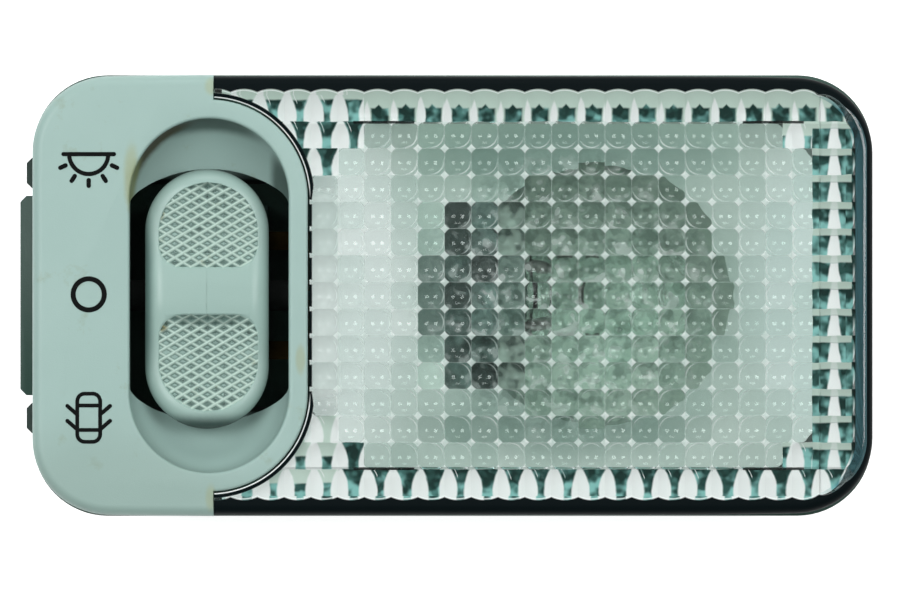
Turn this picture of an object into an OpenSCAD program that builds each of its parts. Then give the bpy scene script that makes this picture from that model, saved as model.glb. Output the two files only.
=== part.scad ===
// Car dome light: clear prism lens, pale bezel with a three-way rocker, and a rear housing with a wedge bulb.
// The zero point is the middle of the headlining seat, under the flange. +Z points out of the face into the cabin.

/* [Body] */
// Length of the visible face
body_length = 110; // [104:0.5:125]
// Width of the visible face
body_width = 57.8; // [56.6:0.2:66]
// Corner radius of the face
corner_radius = 9.8; // [8:0.1:12]
// Height of the face over the headlining
front_height = 9; // [8.6:0.1:12]
// Depth of the housing behind the headlining
rear_depth = 18; // [17.5:0.5:26]
// Rounding of the front edges
edge_radius = 1.4; // [0.8:0.1:2]
// Wall thickness of the bezel and the lens
wall = 1.8; // [1.4:0.1:2.2]

/* [Housing] */
// Width of the flange that rests on the headlining
seat_width = 3; // [2.5:0.1:3.2]
// Thickness of the flange
flange_thickness = 1.6; // [1.2:0.1:2]
// Wall and floor thickness of the tray
tray_wall = 2; // [1.6:0.1:2.2]
// Width of the fixed tongue on the left
tongue_width = 26.2; // [20:0.2:28]
// Reach of the tongue past the face
tongue_reach = 1.75; // [1:0.05:3]
// Thickness of the headlining that the tongue and the clips hook behind
headlining = 2.4; // [2.1:0.1:3]
// Width of the snap lug on the right
lug_width = 15.7; // [10:0.1:18]
// Gap between the tongue and a spring clip
clip_gap = 1; // [0.5:0.1:3]
// Width of a spring clip
clip_width = 4; // [3:0.1:4.6]

/* [Rocker and well] */
// Distance of the switch from the left end of the face
well_inset = 23.13; // [22.5:0.01:24]
// Inner radius of the well
well_radius = 10.42; // [10.2:0.01:11]
// Half of the well's straight length
well_straight = 12.76; // [12.4:0.01:13]
// Width of the ring around the well
ring_width = 2.48; // [2.2:0.01:2.6]
// Width of the rocker
rocker_width = 16.2; // [15.4:0.1:16.8]
// Length of the rocker
rocker_length = 34; // [32:0.1:35]
// Height of the hinge over the headlining
pivot_z = -1; // [-1.3:0.1:-0.7]
// Diameter of the hinge pins
pin_diameter = 4; // [3:0.1:4.4]
// Rocking angle to each side
rock_angle = 8; // [6:0.5:8]
// Depth of the finger pads
pad_depth = 1.4; // [0.8:0.1:1.6]

/* [Lens and light] */
// Spacing of the lens prisms
prism_pitch = 3.5; // [3:0.1:5]
// Height of a prism
prism_height = 0.45; // [0.3:0.05:0.6]
// Shift of the bulb and its bowl from the middle of the lens
bowl_shift = 0.63; // [-0.5:0.05:1.5]
// Radius of the bowl's opening
bowl_radius = 17.5; // [16:0.1:18]
// Diameter of the bulb
bulb_diameter = 10.3; // [9.6:0.1:10.6]
// Length of the bulb with its base
bulb_length = 26.8; // [25:0.1:27.4]

/* [Contacts] */
// Width of a connector blade
blade_width = 2.8; // [2.2:0.1:3]
// Spacing of the connector blades
blade_pitch = 4.8; // [4.4:0.1:5]
// Thickness of the brass strips
strip = 0.8; // [0.6:0.05:0.9]

/* [Clearances] */
// Radial clearance of the hinge pins
pin_clearance = 0.05; // [0.02:0.01:0.09]
// Clearance of fitted parts
fit_clearance = 0.1; // [0.05:0.01:0.15]
// Gap between the ring and the lens
lens_gap = 0.25; // [0.15:0.05:0.4]
// Gap between the switch contacts
contact_gap = 0.05; // [0.03:0.01:0.1]

/* [Hidden] */
$fn = 64;

top = front_height;
back = -rear_depth;
face_x = body_length / 2;
face_y = body_width / 2;
tray_x = face_x - seat_width;
tray_y = face_y - seat_width;
room_x = tray_x - tray_wall;
room_y = tray_y - tray_wall;
floor_z = back + tray_wall;
well_x = well_inset - face_x;
split_x = well_x + 0.57;
ring_radius = well_radius + ring_width;
clip_offset = (tongue_width + clip_width) / 2 + clip_gap;

rocker_shift = -0.3;
rocker_top = top - 0.6;
skirt_z = rocker_top - 3.6;
rocker_straight = (rocker_length - rocker_width) / 2;
foot_radius = 8.5;
wiper = 0.4;
dimple = 0.4;
bar_top = pivot_z - foot_radius - wiper - dimple - contact_gap;
plinth_z = bar_top - strip;
socket_z = plinth_z - 1.6;
blade_tip = back + 1;
scoop_end = well_straight + well_radius;
opening_y = 14.5;
scoop_z = scoop_height(scoop_end, top - 0.8, opening_y + 0.5, 0);
scoop_radius = norm([opening_y + 0.5, scoop_z]);
cam_radius = 8.6;
notch_radius = 0.4;
nose_radius = 0.34;
nose_y = -cam_radius - contact_gap - nose_radius;
spring_y = 0.1 - nose_y;
spring_thickness = 0.3;

lens_y = face_y - 0.2;
lens_floor = top - wall;
plate_z = flange_thickness;
plate_thickness = 1.2;
plate_x = face_x - 8;
plate_y = room_y - 1.7;
bowl_x = (well_x + ring_radius + face_x) / 2 + bowl_shift;
bowl_depth = bulb_diameter + bulb_length / 4 - 5;
bowl_sphere = (bowl_radius * bowl_radius + bowl_depth * bowl_depth) / (2 * bowl_depth);
bowl_wall = 0.8;
bulb_z = plate_z - 0.05 - bulb_diameter / 2;
base_x = bowl_x - 15.65;
bulb_tip = base_x + bulb_length;
holder_x0 = base_x - 7.5;
holder_x1 = base_x + 3.2;
nose_x = base_x + 6.1;
holder_y = 12.1;
holder_top = plate_z - 1;
lead = 0.25;
lead_y = 2.4;
hook_x = [well_x + 22.87, face_x - 13];
screw_x = -room_x + 2.9;
screw_y = room_y - 4.9;

// Height of the centre of a scoop that passes through two points of the well's floor
function scoop_height(y1, z1, y2, z2) = (y1 * y1 + z1 * z1 - y2 * y2 - z2 * z2) / (2 * (z1 - z2));

// Half of a section whose outer upper corner is rounded
module edge_profile(width, height, edge) {
  square([width, height - edge]);
  square([width - edge, height]);
  translate([width - edge, height - edge]) circle(edge);
}

module both_sides() {
  children();
  mirror([1, 0]) children();
}

// Rounded rectangular slab with a rounded upper edge
module soft_slab(half_x, half_y, z0, z1, radius, edge) {
  height = z1 - z0;
  for (corner = [[1, 1, 0], [-1, 1, 90], [-1, -1, 180], [1, -1, 270]])
    translate([corner[0] * (half_x - radius), corner[1] * (half_y - radius), z0])
      rotate([0, 0, corner[2]]) rotate_extrude(angle = 90) edge_profile(radius, height, edge);
  translate([radius - half_x, 0, z0]) rotate([90, 0, 90]) linear_extrude(2 * (half_x - radius))
    both_sides() edge_profile(half_y, height, edge);
  translate([0, half_y - radius, z0]) rotate([90, 0, 0]) linear_extrude(2 * (half_y - radius))
    both_sides() edge_profile(half_x, height, edge);
}

module block(x0, x1, y0, y1, z0, z1) {
  translate([x0, y0, z0]) cube([x1 - x0, y1 - y0, z1 - z0]);
}

module plain_slab(half_x, half_y, z0, z1, radius) {
  translate([0, 0, z0]) linear_extrude(z1 - z0) rounded_outline(half_x, half_y, radius);
}

module rounded_outline(half_x, half_y, radius) {
  square([2 * half_x, 2 * (half_y - radius)], center = true);
  square([2 * (half_x - radius), 2 * half_y], center = true);
  for (x = [-1, 1], y = [-1, 1])
    translate([x * (half_x - radius), y * (half_y - radius)]) circle(radius);
}

// Upright slot shape around the switch
module stadium(radius, straight) {
  square([2 * radius, 2 * straight], center = true);
  for (y = [-1, 1]) translate([0, y * straight]) circle(radius);
}

module well_column(radius, z0, z1) {
  translate([well_x, 0, z0]) linear_extrude(z1 - z0) stadium(radius, well_straight);
}

// Round bar along X
module bar_x(x0, x1, y, z, radius) {
  translate([x0, y, z]) rotate([0, 90, 0]) cylinder(r = radius, h = x1 - x0);
}

module symbol_print() {
  translate([well_x - 15.75, 0, top]) linear_extrude(0.06) children();
}

module rear_housing() {
  color("#3e564c") difference() {
    union() {
      plain_slab(face_x, face_y, 0, flange_thickness, corner_radius);
      plain_slab(tray_x, tray_y, back, 0.5, corner_radius - seat_width);
      tongue();
      snap_lug();
    }
    difference() {
      plain_slab(room_x, room_y, floor_z, flange_thickness + 1, corner_radius - seat_width - tray_wall);
      // Switch plinth over the connector socket
      block(well_x - 7.6, well_x + 7.6, -11.2, 11.8, back, plinth_z);
      // Ribs that carry the two long strips to the bulb holder
      block(well_x + 12, well_x + 13.5, -9.4, 9.4, back, plinth_z);
      for (y = [-1, 1]) {
        block(holder_x0 - 4, holder_x0 - 2.5, y > 0 ? 0.4 : -3.2, y > 0 ? 3.2 : -0.4, back, plinth_z);
        translate([screw_x, y * screw_y, back]) cylinder(d = 7, h = rear_depth - 6);
        // Posts under the rim of the bowl
        for (a = [45, 105]) translate([bowl_x, 0, back]) rotate([0, 0, y * a]) translate([bowl_radius + 2.4, 0, 0])
          cylinder(d = 3, h = rear_depth + plate_z - bowl_wall);
      }
      // Ledges under the plate's sides
      for (x = [well_x + 29.4, bowl_x, plate_x - 11], y = [-1, 1])
        block(x - 1.5, x + 1.5, y > 0 ? plate_y - 1.6 : -face_y, y > 0 ? face_y : 1.6 - plate_y, back, plate_z);
      // Low walls that locate the bulb holder
      for (y = [-1, 1])
        block(holder_x0 + 1, holder_x1 - 1, y > 0 ? holder_y + fit_clearance : -holder_y - 2,
          y > 0 ? holder_y + 2 : -holder_y - fit_clearance, back, floor_z + 4);
    }
    socket_room();
    blade_slots();
    // Seat of the detent spring
    block(well_x - 2.5 - fit_clearance, well_x + 2.5 + fit_clearance, -spring_y - spring_thickness - 0.02,
      0.02 - spring_y, plinth_z - 2.4, plinth_z + 1);
    for (y = [-1, 1]) {
      translate([screw_x, y * screw_y, back - 1]) {
        cylinder(d = 3.4, h = rear_depth);
        cylinder(d = 6.6, h = 8.5);
      }
      for (x = hook_x)
        block(x - 4.3, x + 4.3, y > 0 ? room_y - 1 : -tray_y - 1, y > 0 ? tray_y + 1 : 1 - room_y, -4.7, -2.7);
    }
  }
}

module tongue() {
  reach = seat_width + tongue_reach;
  translate([-tray_x, 0, -headlining - 2]) linear_extrude(2)
    polygon([[1, -tongue_width / 2], [1, tongue_width / 2], [0.8 - reach, tongue_width / 2],
      [-reach, tongue_width / 2 - 0.8], [-reach, 0.8 - tongue_width / 2], [0.8 - reach, -tongue_width / 2]]);
}

module snap_lug() {
  reach = seat_width + 0.13;
  translate([tray_x, 2.6 - (lug_width - 15.7) / 2 - 5, -headlining]) rotate([-90, 0, 0])
    translate([0, 0, -lug_width / 2]) linear_extrude(lug_width)
      polygon([[-1, 0], [reach - 0.6, 0], [reach, 0.7], [reach, 1.4], [0, 4.6], [-1, 4.6]]);
}

module socket_room() {
  block(well_x - 3.2, well_x + 3.2, blade_pitch / 2 - 7.8, blade_pitch / 2 + 7.8, back - 1, socket_z);
}

module blade_slots() {
  for (y = [-0.5, 0.5, 1.5])
    block(well_x - blade_width / 2 - fit_clearance, well_x + blade_width / 2 + fit_clearance,
      y * blade_pitch - strip / 2 - fit_clearance, y * blade_pitch + strip / 2 + fit_clearance,
      socket_z - 1, plinth_z + 1);
}

module front_bezel() {
  color("#a6c1bb") difference() {
    union() {
      difference() {
        soft_slab(face_x, face_y, flange_thickness, top, corner_radius, edge_radius);
        plain_slab(face_x - wall, face_y - wall, flange_thickness - 1, top - wall, corner_radius - wall);
        block(split_x, face_x + 1, -face_y - 1, face_y + 1, flange_thickness - 1, top + 1);
      }
      difference() {
        union() {
          well_column(ring_radius, flange_thickness, top);
          intersection() {
            well_column(ring_radius, pivot_z - 3.6, flange_thickness + 1);
            block(well_x - 20, well_x + 20, 0.3 - room_y, room_y - 0.3, pivot_z - 4, flange_thickness + 1);
          }
        }
        well_column(well_radius, -20, top + 1);
      }
      // Floor of the two finger scoops
      intersection() {
        well_column(ring_radius - 0.5, -3, top - 0.5);
        bar_x(well_x - 20, well_x + 20, 0, scoop_z, scoop_radius + 1.8);
        block(well_x - 20, well_x + 20, 0.3 - room_y, room_y - 0.3, -4, top);
      }
      for (y = [-1, 1]) translate([screw_x, y * screw_y, -6]) cylinder(d = 5.4, h = top + 5);
    }
    intersection() {
      well_column(well_radius, -6, top + 1);
      bar_x(well_x - 20, well_x + 20, 0, scoop_z, scoop_radius);
    }
    intersection() {
      well_column(well_radius, -6, top + 1);
      block(well_x - 20, well_x + 20, -opening_y, opening_y, -6, top + 1);
    }
    bar_x(well_x - well_radius - 2, well_x + well_radius + 2, 0, pivot_z, pin_diameter / 2 + pin_clearance);
    for (y = [-1, 1]) translate([screw_x, y * screw_y, -7]) cylinder(d = 2.95, h = 11);
  }
}

module lens() {
  color("#dfe9e6", 0.45) {
    difference() {
      union() {
        difference() {
          soft_slab(face_x, lens_y, flange_thickness, top, corner_radius, edge_radius);
          plain_slab(face_x - wall, lens_y - wall, flange_thickness - 1, lens_floor + 0.3, corner_radius - wall);
        }
        intersection() {
          prisms();
          plain_slab(face_x - 1, lens_y - 1, lens_floor - 2, top - 0.5, corner_radius - 1);
        }
        for (x = hook_x, y = [-1, 1]) mirror([0, y < 0 ? 1 : 0]) lens_hook(x);
      }
      well_column(ring_radius + lens_gap, -1, top + 1);
      block(-face_x - 1, split_x + fit_clearance, -face_y - 1, face_y + 1, -1, top + 1);
    }
  }
}

module lens_hook(x) {
  block(x - 4, x + 4, room_y - 1.4, room_y - fit_clearance, -5, lens_floor + 0.5);
  block(x - 4, x + 4, room_y - 1, room_y + 0.6, -4.6, -3);
}

// Cushion prisms: two crossed rows of round ribs
module prisms() {
  radius = (prism_pitch * prism_pitch / 4 + prism_height * prism_height) / (2 * prism_height);
  columns = floor((face_x - split_x - 2) / prism_pitch);
  rows = 2 * floor((lens_y - wall) / prism_pitch - 0.5) + 1;
  x0 = face_x - wall - (columns - 0.5) * prism_pitch;
  depth = rows * prism_pitch;
  length = columns * prism_pitch;
  intersection() {
    union() {
      block(x0, x0 + length, -depth / 2, depth / 2, lens_floor + 0.2, top - 0.6);
      for (i = [0:columns - 1])
        translate([x0 + (i + 0.5) * prism_pitch, depth / 2, lens_floor - prism_height + radius])
          rotate([90, 0, 0]) rib(radius, depth);
    }
    union() {
      block(x0, x0 + length, -depth / 2, depth / 2, lens_floor + 0.2, top - 0.6);
      for (j = [0:rows - 1])
        translate([x0, (j - (rows - 1) / 2) * prism_pitch, lens_floor - prism_height + radius])
          rotate([90, 0, 90]) rib(radius, length);
    }
  }
}

module rib(radius, length) {
  linear_extrude(length) intersection() {
    circle(radius, $fn = 48);
    translate([-prism_pitch / 2, -radius]) square([prism_pitch, prism_height + 0.4]);
  }
}

// The plate's corners are cut off, so the prisms there look past it into the housing
module plate_outline() {
  x0 = well_x + ring_radius;
  corner = corner_radius / 2;
  polygon([[x0, -well_straight], [x0 + 7.2, -plate_y], [plate_x - corner, -plate_y], [plate_x, corner - plate_y],
    [plate_x, plate_y - corner], [plate_x - corner, plate_y], [x0 + 7.2, plate_y], [x0, well_straight]]);
}

module reflector_plate() {
  color("#e4ece8") difference() {
    translate([0, 0, plate_z]) linear_extrude(plate_thickness) plate_outline();
    well_column(ring_radius + fit_clearance + 0.3, plate_z - 1, plate_z + 3);
    translate([bowl_x, 0, plate_z - 1]) cylinder(r = bowl_radius, h = 4);
    block(holder_x0 - 0.2, holder_x1 + 4, -holder_y - 0.2, holder_y + 0.2, plate_z - 1, plate_z + 3);
  }
}

module bowl_reflector() {
  rim = bowl_radius + 2.8;
  color("#c3cdca") difference() {
    union() {
      translate([bowl_x, 0, plate_z - bowl_wall]) cylinder(r = rim, h = bowl_wall);
      intersection() {
        translate([bowl_x, 0, plate_z - bowl_depth + bowl_sphere]) sphere(bowl_sphere + bowl_wall);
        translate([bowl_x, 0, plate_z - bowl_depth - 3]) cylinder(r = rim - 1, h = bowl_depth + 2.6);
      }
    }
    translate([bowl_x, 0, plate_z - bowl_depth + bowl_sphere]) sphere(bowl_sphere);
    block(bowl_x - rim - 1, nose_x + 0.3, -holder_y - 0.3, holder_y + 0.3, plate_z - bowl_depth - 3, plate_z + 1);
  }
}

module bulb_holder() {
  color("#1d2624") difference() {
    union() {
      block(holder_x0, holder_x1, -holder_y, holder_y, floor_z, holder_top);
      block(holder_x1 - 1, nose_x - 1, -6.6, 6.6, bulb_z - 3.4, bulb_z + 3.4);
      block(nose_x - 1.1, nose_x, -8.8, 8.8, bulb_z - 4, bulb_z + 4);
    }
    block(base_x - 0.7, nose_x + 1, -4.75 - fit_clearance, 4.75 + fit_clearance, bulb_z - 1.15, bulb_z + 1.15);
    for (y = [-1, 1]) mirror([0, y < 0 ? 1 : 0]) {
      block(base_x - 6.5 - fit_clearance, nose_x - 1.1, lead_y - 1.6, lead_y + 1.6,
        bulb_z - 2 - fit_clearance, bulb_z + 2 + fit_clearance);
      block(base_x - 6.5 - fit_clearance, base_x - 6.1 + fit_clearance, lead_y - 1.1, lead_y + 1.1, plinth_z, bulb_z);
      block(holder_x0 - 1, base_x - 5.9, 0.5, 3.1, plinth_z - fit_clearance, bar_top + fit_clearance);
    }
  }
}

module bulb_glass() {
  radius = bulb_diameter / 2;
  color("#eef4f2", 0.4) difference() {
    union() {
      translate([0, 0, bulb_z]) rotate([0, 90, 0]) rotate_extrude() difference() {
        bulb_section(radius, base_x + 7.6, bulb_tip);
        bulb_section(radius - 0.6, base_x + 9, bulb_tip - 0.6);
      }
      block(base_x, base_x + 9.4, -4.75, 4.75, bulb_z - 1.05, bulb_z + 1.05);
    }
    for (y = [-lead_y, lead_y]) bar_x(base_x - 1, base_x + 12, y, bulb_z, lead);
  }
}

// Half section of the bulb's round end: a cylinder with a domed tip and a short shoulder
module bulb_section(radius, x0, x1) {
  translate([0, x0]) square([radius - 1.2, 3]);
  translate([0, x0 + 1.2]) square([radius, x1 - radius - x0 - 1.2]);
  translate([radius - 1.2, x0 + 1.2]) circle(1.2);
  intersection() {
    translate([0, x1 - radius]) circle(radius);
    translate([0, x1 - radius - 0.5]) square([radius + 1, radius + 1]);
  }
}

module bulb_filament() {
  color("#8d8f8c") translate([bowl_x + 0.35, -lead_y - 0.1, bulb_z]) rotate([-90, 0, 0])
    cylinder(d = 0.7, h = 2 * lead_y + 0.2);
}

module bulb_leads() {
  color("#a9aba6") for (s = [-1, 1]) {
    bar_x(base_x, bowl_x, s * lead_y, bulb_z, lead);
    translate([base_x - lead, s * lead_y, bulb_z]) sphere(lead);
    bar_x(base_x - lead, base_x, s * lead_y, bulb_z, lead);
    translate([base_x - lead, s * lead_y, bulb_z + (s > 0 ? 0 : -1.3)]) cylinder(r = lead, h = 1.3);
    translate([base_x - lead, s * lead_y, bulb_z + s * 1.3]) sphere(lead);
    bar_x(base_x - lead, base_x + 4.4, s * lead_y, bulb_z + s * 1.3, lead);
  }
}

module holder_contacts() {
  color("#b9a86a") for (y = [-1, 1]) mirror([0, y < 0 ? 1 : 0]) {
    for (z = [bulb_z - 2, bulb_z + 1.6])
      block(base_x - 6.5, base_x + 4.8, lead_y - 1.5, lead_y + 1.5, z, z + 0.4);
    block(base_x - 6.5, base_x - 6.1, lead_y - 1.5, lead_y + 1.5, bulb_z - 2, bulb_z + 2);
    block(base_x - 6.5, base_x - 6.1, lead_y - 1, lead_y + 1, bar_top, bulb_z - 1.6);
  }
}

// Blade that stands down through the housing into the connector socket
module blade(y) {
  block(well_x - blade_width / 2, well_x + blade_width / 2, y - strip / 2, y + strip / 2, blade_tip, bar_top);
}

// Strip that jogs in from the switch to the bulb holder
module holder_run(x0, y0) {
  inner = 0.6;
  block(x0, well_x + 14.5, y0, y0 + 2.4, plinth_z, bar_top);
  block(well_x + 12.1, well_x + 14.5, inner, y0 + 2.4, plinth_z, bar_top);
  block(well_x + 12.1, base_x - 6, inner, inner + 2.4, plinth_z, bar_top);
}

module live_bar() {
  color("#c0a75c") {
    blade(1.5 * blade_pitch);
    holder_run(well_x - blade_width / 2, 1.5 * blade_pitch - 1.2);
  }
}

module common_bar() {
  color("#c0a75c") {
    block(well_x - 6.7, well_x - 3.9, -8.4, 3.2, plinth_z, bar_top);
    mirror([0, 1]) holder_run(well_x - 6.7, 6);
  }
}

module switch_bar(side) {
  y0 = side > 0 ? 1 : -blade_pitch / 2 - 1.3;
  y1 = side > 0 ? blade_pitch / 2 + 1.3 : -1;
  color("#c0a75c") {
    block(well_x - blade_width / 2, well_x + 6.4, y0, y1, plinth_z, bar_top);
    blade(side * blade_pitch / 2);
  }
}

module earth_bar() {
  switch_bar(1);
}

module door_bar() {
  switch_bar(-1);
}

module rocker() {
  x = well_x + rocker_shift;
  half = rocker_width / 2;
  height = rocker_top - skirt_z;
  pad_y = 8.7;
  pad_radius = (6.3 * 6.3 + pad_depth * pad_depth) / (2 * pad_depth);
  color("#9fbfb7") {
    difference() {
      union() {
        difference() {
          translate([x, 0, skirt_z]) {
            for (y = [-1, 1]) translate([0, y * rocker_straight, 0]) rotate([0, 0, y > 0 ? 0 : 180])
              rotate_extrude(angle = 180) edge_profile(half, height, 2.4);
            translate([0, rocker_straight, 0]) rotate([90, 0, 0]) linear_extrude(2 * rocker_straight)
              both_sides() edge_profile(half, height, 2.4);
          }
          translate([x, 0, skirt_z - 1]) linear_extrude(height - pad_depth - 0.4)
            stadium(half - 1.6, rocker_straight);
        }
        block(x - 6, x + 6, -2.2, 2.2, pivot_z - foot_radius, rocker_top - 1.5);
        bar_x(x - half, x + half, 0, pivot_z, 3.4);
        for (s = [-1, 1])
          block(s > 0 ? x + half - 1.6 : x - half, s > 0 ? x + half : x - half + 1.6, -3.4, 3.4, pivot_z, skirt_z + 0.5);
        intersection() {
          bar_x(x - 2.4, x + 2.4, 0, pivot_z, cam_radius);
          block(x - 3, x + 3, -cam_radius - 1, 0, pivot_z - 2, pivot_z + 2);
        }
      }
      // Two finger pads
      for (s = [-1, 1]) intersection() {
        bar_x(x - half, x + half, s * pad_y, rocker_top - pad_depth + pad_radius, pad_radius);
        translate([x, 0, skirt_z]) linear_extrude(height + 1) stadium(half - 1.6, rocker_straight);
      }
      for (a = [-1, 0, 1])
        bar_x(x - 3, x + 3, -(cam_radius + 0.15) * cos(a * rock_angle),
          pivot_z + (cam_radius + 0.15) * sin(a * rock_angle), notch_radius);
      // Seat of the wiper
      block(x - 6.1, x + 6.1, -1.2 - fit_clearance, 1.2 + fit_clearance,
        pivot_z - foot_radius - 1, pivot_z - foot_radius + 0.3);
    }
    bar_x(well_x - well_radius - 1.6, x - half + 1, 0, pivot_z, pin_diameter / 2);
    bar_x(x + half - 1, well_x + well_radius + 1.6, 0, pivot_z, pin_diameter / 2);
  }
}

module wiper_contact() {
  x = well_x + rocker_shift;
  z = pivot_z - foot_radius;
  color("#c9b36b") {
    block(x - 6, x + 6, -1.2, 1.2, z - wiper, z + 0.3);
    for (s = [-1, 1]) translate([x + s * 5, 0, z - wiper - dimple]) cylinder(r = 0.7, h = dimple + 0.1);
  }
}

module detent_spring() {
  x = well_x + rocker_shift;
  color("#8b9396") {
    block(well_x - 2.5, well_x + 2.5, -spring_y - spring_thickness, -spring_y, plinth_z - 2.4, pivot_z + 1);
    bar_x(x - 2, x + 2, nose_y, pivot_z, nose_radius);
  }
}

module spring_clips() {
  reach = seat_width + 0.96;
  color("#0f1514") for (y = [-clip_offset, clip_offset])
    translate([-tray_x, y, 0]) intersection() {
      rotate([90, 0, 0]) translate([0, 0, -clip_width / 2]) linear_extrude(clip_width)
        polygon([[0, -headlining - 0.2], [-0.6, -headlining - 0.2], [-reach, -headlining - 2.6],
          [-reach, -headlining - 4], [-0.9, -headlining - 10], [0, -headlining - 10],
          [0, -headlining - 9.4], [-0.6, -headlining - 9.4], [-reach + 0.6, -headlining - 3.9],
          [-reach + 0.6, -headlining - 2.8], [-0.5, -headlining - 0.9], [0, -headlining - 0.9]]);
      translate([0, 0, -15]) linear_extrude(15)
        polygon([[1, -clip_width / 2], [1, clip_width / 2], [0.7 - reach, clip_width / 2],
          [-reach, clip_width / 2 - 0.7], [-reach, 0.7 - clip_width / 2], [0.7 - reach, -clip_width / 2]]);
    }
}

module bezel_screws() {
  head_z = back + 7.5;
  color("#9aa3a4") for (y = [-1, 1]) translate([screw_x, y * screw_y, 0]) difference() {
    union() {
      translate([0, 0, head_z - 2]) cylinder(d = 5.6, h = 2);
      translate([0, 0, head_z - 0.5]) cylinder(d = 2.9, h = 11);
    }
    for (a = [0, 90]) rotate([0, 0, a]) translate([-1.5, -0.4, head_z - 3]) cube([3, 0.8, 2]);
  }
}

module lamp_symbol() {
  color("#0d1211") symbol_print() translate([0, well_straight + 3.84]) {
    translate([-3.5, 1.65]) square([7, 0.55]);
    difference() {
      circle(2.85);
      circle(2.3);
      translate([-4, 1]) square([8, 4]);
    }
    for (x = [-1, 1]) {
      translate([x * 2.575 - 0.275, 0.9]) square([0.55, 0.9]);
      rotate([0, 0, x * 68]) translate([-0.25, -4.4]) square([0.5, 1.2]);
      rotate([0, 0, x * 33]) translate([-0.25, -4.7]) square([0.5, 1.35]);
    }
    translate([-0.25, -4.75]) square([0.5, 1.4]);
  }
}

module off_symbol() {
  color("#0d1211") symbol_print() difference() {
    circle(2.38);
    circle(1.7);
  }
}

module door_symbol() {
  color("#0d1211") symbol_print() translate([0, -well_straight - 3.34]) {
    difference() {
      rounded_outline(1.8, 3.4, 0.9);
      rounded_outline(1.3, 2.9, 0.4);
    }
    for (y = [1.65, -1.55]) translate([-1.5, y]) square([3, 0.5]);
    for (x = [-1, 1], y = [1.1, -0.9])
      translate([x * 1.6, y - 0.3]) rotate([0, 0, x > 0 ? 42 : 138]) square([1.65, 0.5]);
  }
}

rear_housing();
front_bezel();
lens();
reflector_plate();
bowl_reflector();
bulb_holder();
bulb_glass();
bulb_filament();
bulb_leads();
holder_contacts();
live_bar();
common_bar();
earth_bar();
door_bar();
rocker();
wiper_contact();
detent_spring();
spring_clips();
bezel_screws();
lamp_symbol();
off_symbol();
door_symbol();
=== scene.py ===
# Car dome light: the looks of each piece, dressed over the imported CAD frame
import math
import bmesh
import bpy
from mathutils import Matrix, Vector


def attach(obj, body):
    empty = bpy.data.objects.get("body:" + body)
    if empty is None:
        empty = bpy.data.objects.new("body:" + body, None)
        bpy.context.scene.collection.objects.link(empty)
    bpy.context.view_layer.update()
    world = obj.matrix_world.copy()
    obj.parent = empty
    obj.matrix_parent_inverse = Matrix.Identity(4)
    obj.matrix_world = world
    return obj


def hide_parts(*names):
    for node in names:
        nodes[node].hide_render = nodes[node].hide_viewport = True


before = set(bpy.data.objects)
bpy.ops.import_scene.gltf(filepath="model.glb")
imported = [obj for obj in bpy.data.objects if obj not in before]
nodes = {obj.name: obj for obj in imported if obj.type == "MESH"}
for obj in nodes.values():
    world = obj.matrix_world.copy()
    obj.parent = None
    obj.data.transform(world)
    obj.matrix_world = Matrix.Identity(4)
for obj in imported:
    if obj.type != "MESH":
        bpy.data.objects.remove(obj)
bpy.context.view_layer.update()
mm = 0.001


# sizes that several pieces share, in millimetres, as in the part's source
lamp = {
    "faceX": 55.0, "faceY": 28.9, "cornerRadius": 9.8,
    "seatZ": 1.6, "topZ": 9.0, "edge": 1.4, "wall": 1.8,
    "splitX": -31.3, "wellX": -31.87, "wellStraight": 12.76, "wellRadius": 10.42, "ringRadius": 12.9,
    "lensY": 28.7, "pitch": 3.5, "firstColumn": -32.55,
}


def hexToLinear(code, alpha=1.0):
    values = [int(code[i:i + 2], 16) / 255 for i in (1, 3, 5)]
    return tuple([v / 12.92 if v <= 0.04045 else ((v + 0.055) / 1.055) ** 2.4 for v in values] + [alpha])


# Adds one node; settings are its properties, links its inputs: a value, a colour or another node's output
def addNode(tree, kind, settings=None, links=None):
    node = tree.nodes.new(kind)
    for key, value in (settings or {}).items():
        setattr(node, key, value)
    for key, value in (links or {}).items():
        socket = node.inputs[key]
        if isinstance(value, bpy.types.NodeSocket):
            tree.links.new(value, socket)
        else:
            socket.default_value = value
    return node


mathWords = {
    "+": "ADD", "-": "SUBTRACT", "*": "MULTIPLY", "/": "DIVIDE", "%": "FLOORED_MODULO", ">": "GREATER_THAN",
    "<": "LESS_THAN", "max": "MAXIMUM", "min": "MINIMUM", "pingpong": "PINGPONG", "abs": "ABSOLUTE",
    "sqrt": "SQRT", "sin": "SINE", "cos": "COSINE",
}


# Turns formulas into nodes. One such as "share = x - middle abs / half clamp" is worked from left to right,
# a node for each step, as on a pocket calculator. known names the inputs and takes the results
def addFormulas(tree, known, formulas):
    def read(word):
        return known[word] if word in known else float(word)

    for formula in formulas:
        result, _, first, *words = formula.split()
        value = read(first)
        while words:
            word = words.pop(0)
            if word == "clamp":
                step.use_clamp = True
                continue
            other = 0.0 if word in ("abs", "sqrt", "sin", "cos") else read(words.pop(0))
            step = addNode(tree, "ShaderNodeMath", {"operation": mathWords[word]}, {0: value, 1: other})
            value = step.outputs["Value"]
        known[result] = value


# A soft ball drawn out to half sizes in millimetres: 1 at its centre, 0 at its edge
def addBall(tree, place, centre, size):
    drawn = addNode(tree, "ShaderNodeMapping", {"vector_type": "TEXTURE"}, {
        "Vector": place, "Location": [v * mm for v in centre], "Scale": [v * mm for v in size]})
    ball = addNode(tree, "ShaderNodeTexGradient", {"gradient_type": "SPHERICAL"}, {
        "Vector": drawn.outputs["Vector"]})
    return ball.outputs["Fac"]


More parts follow.
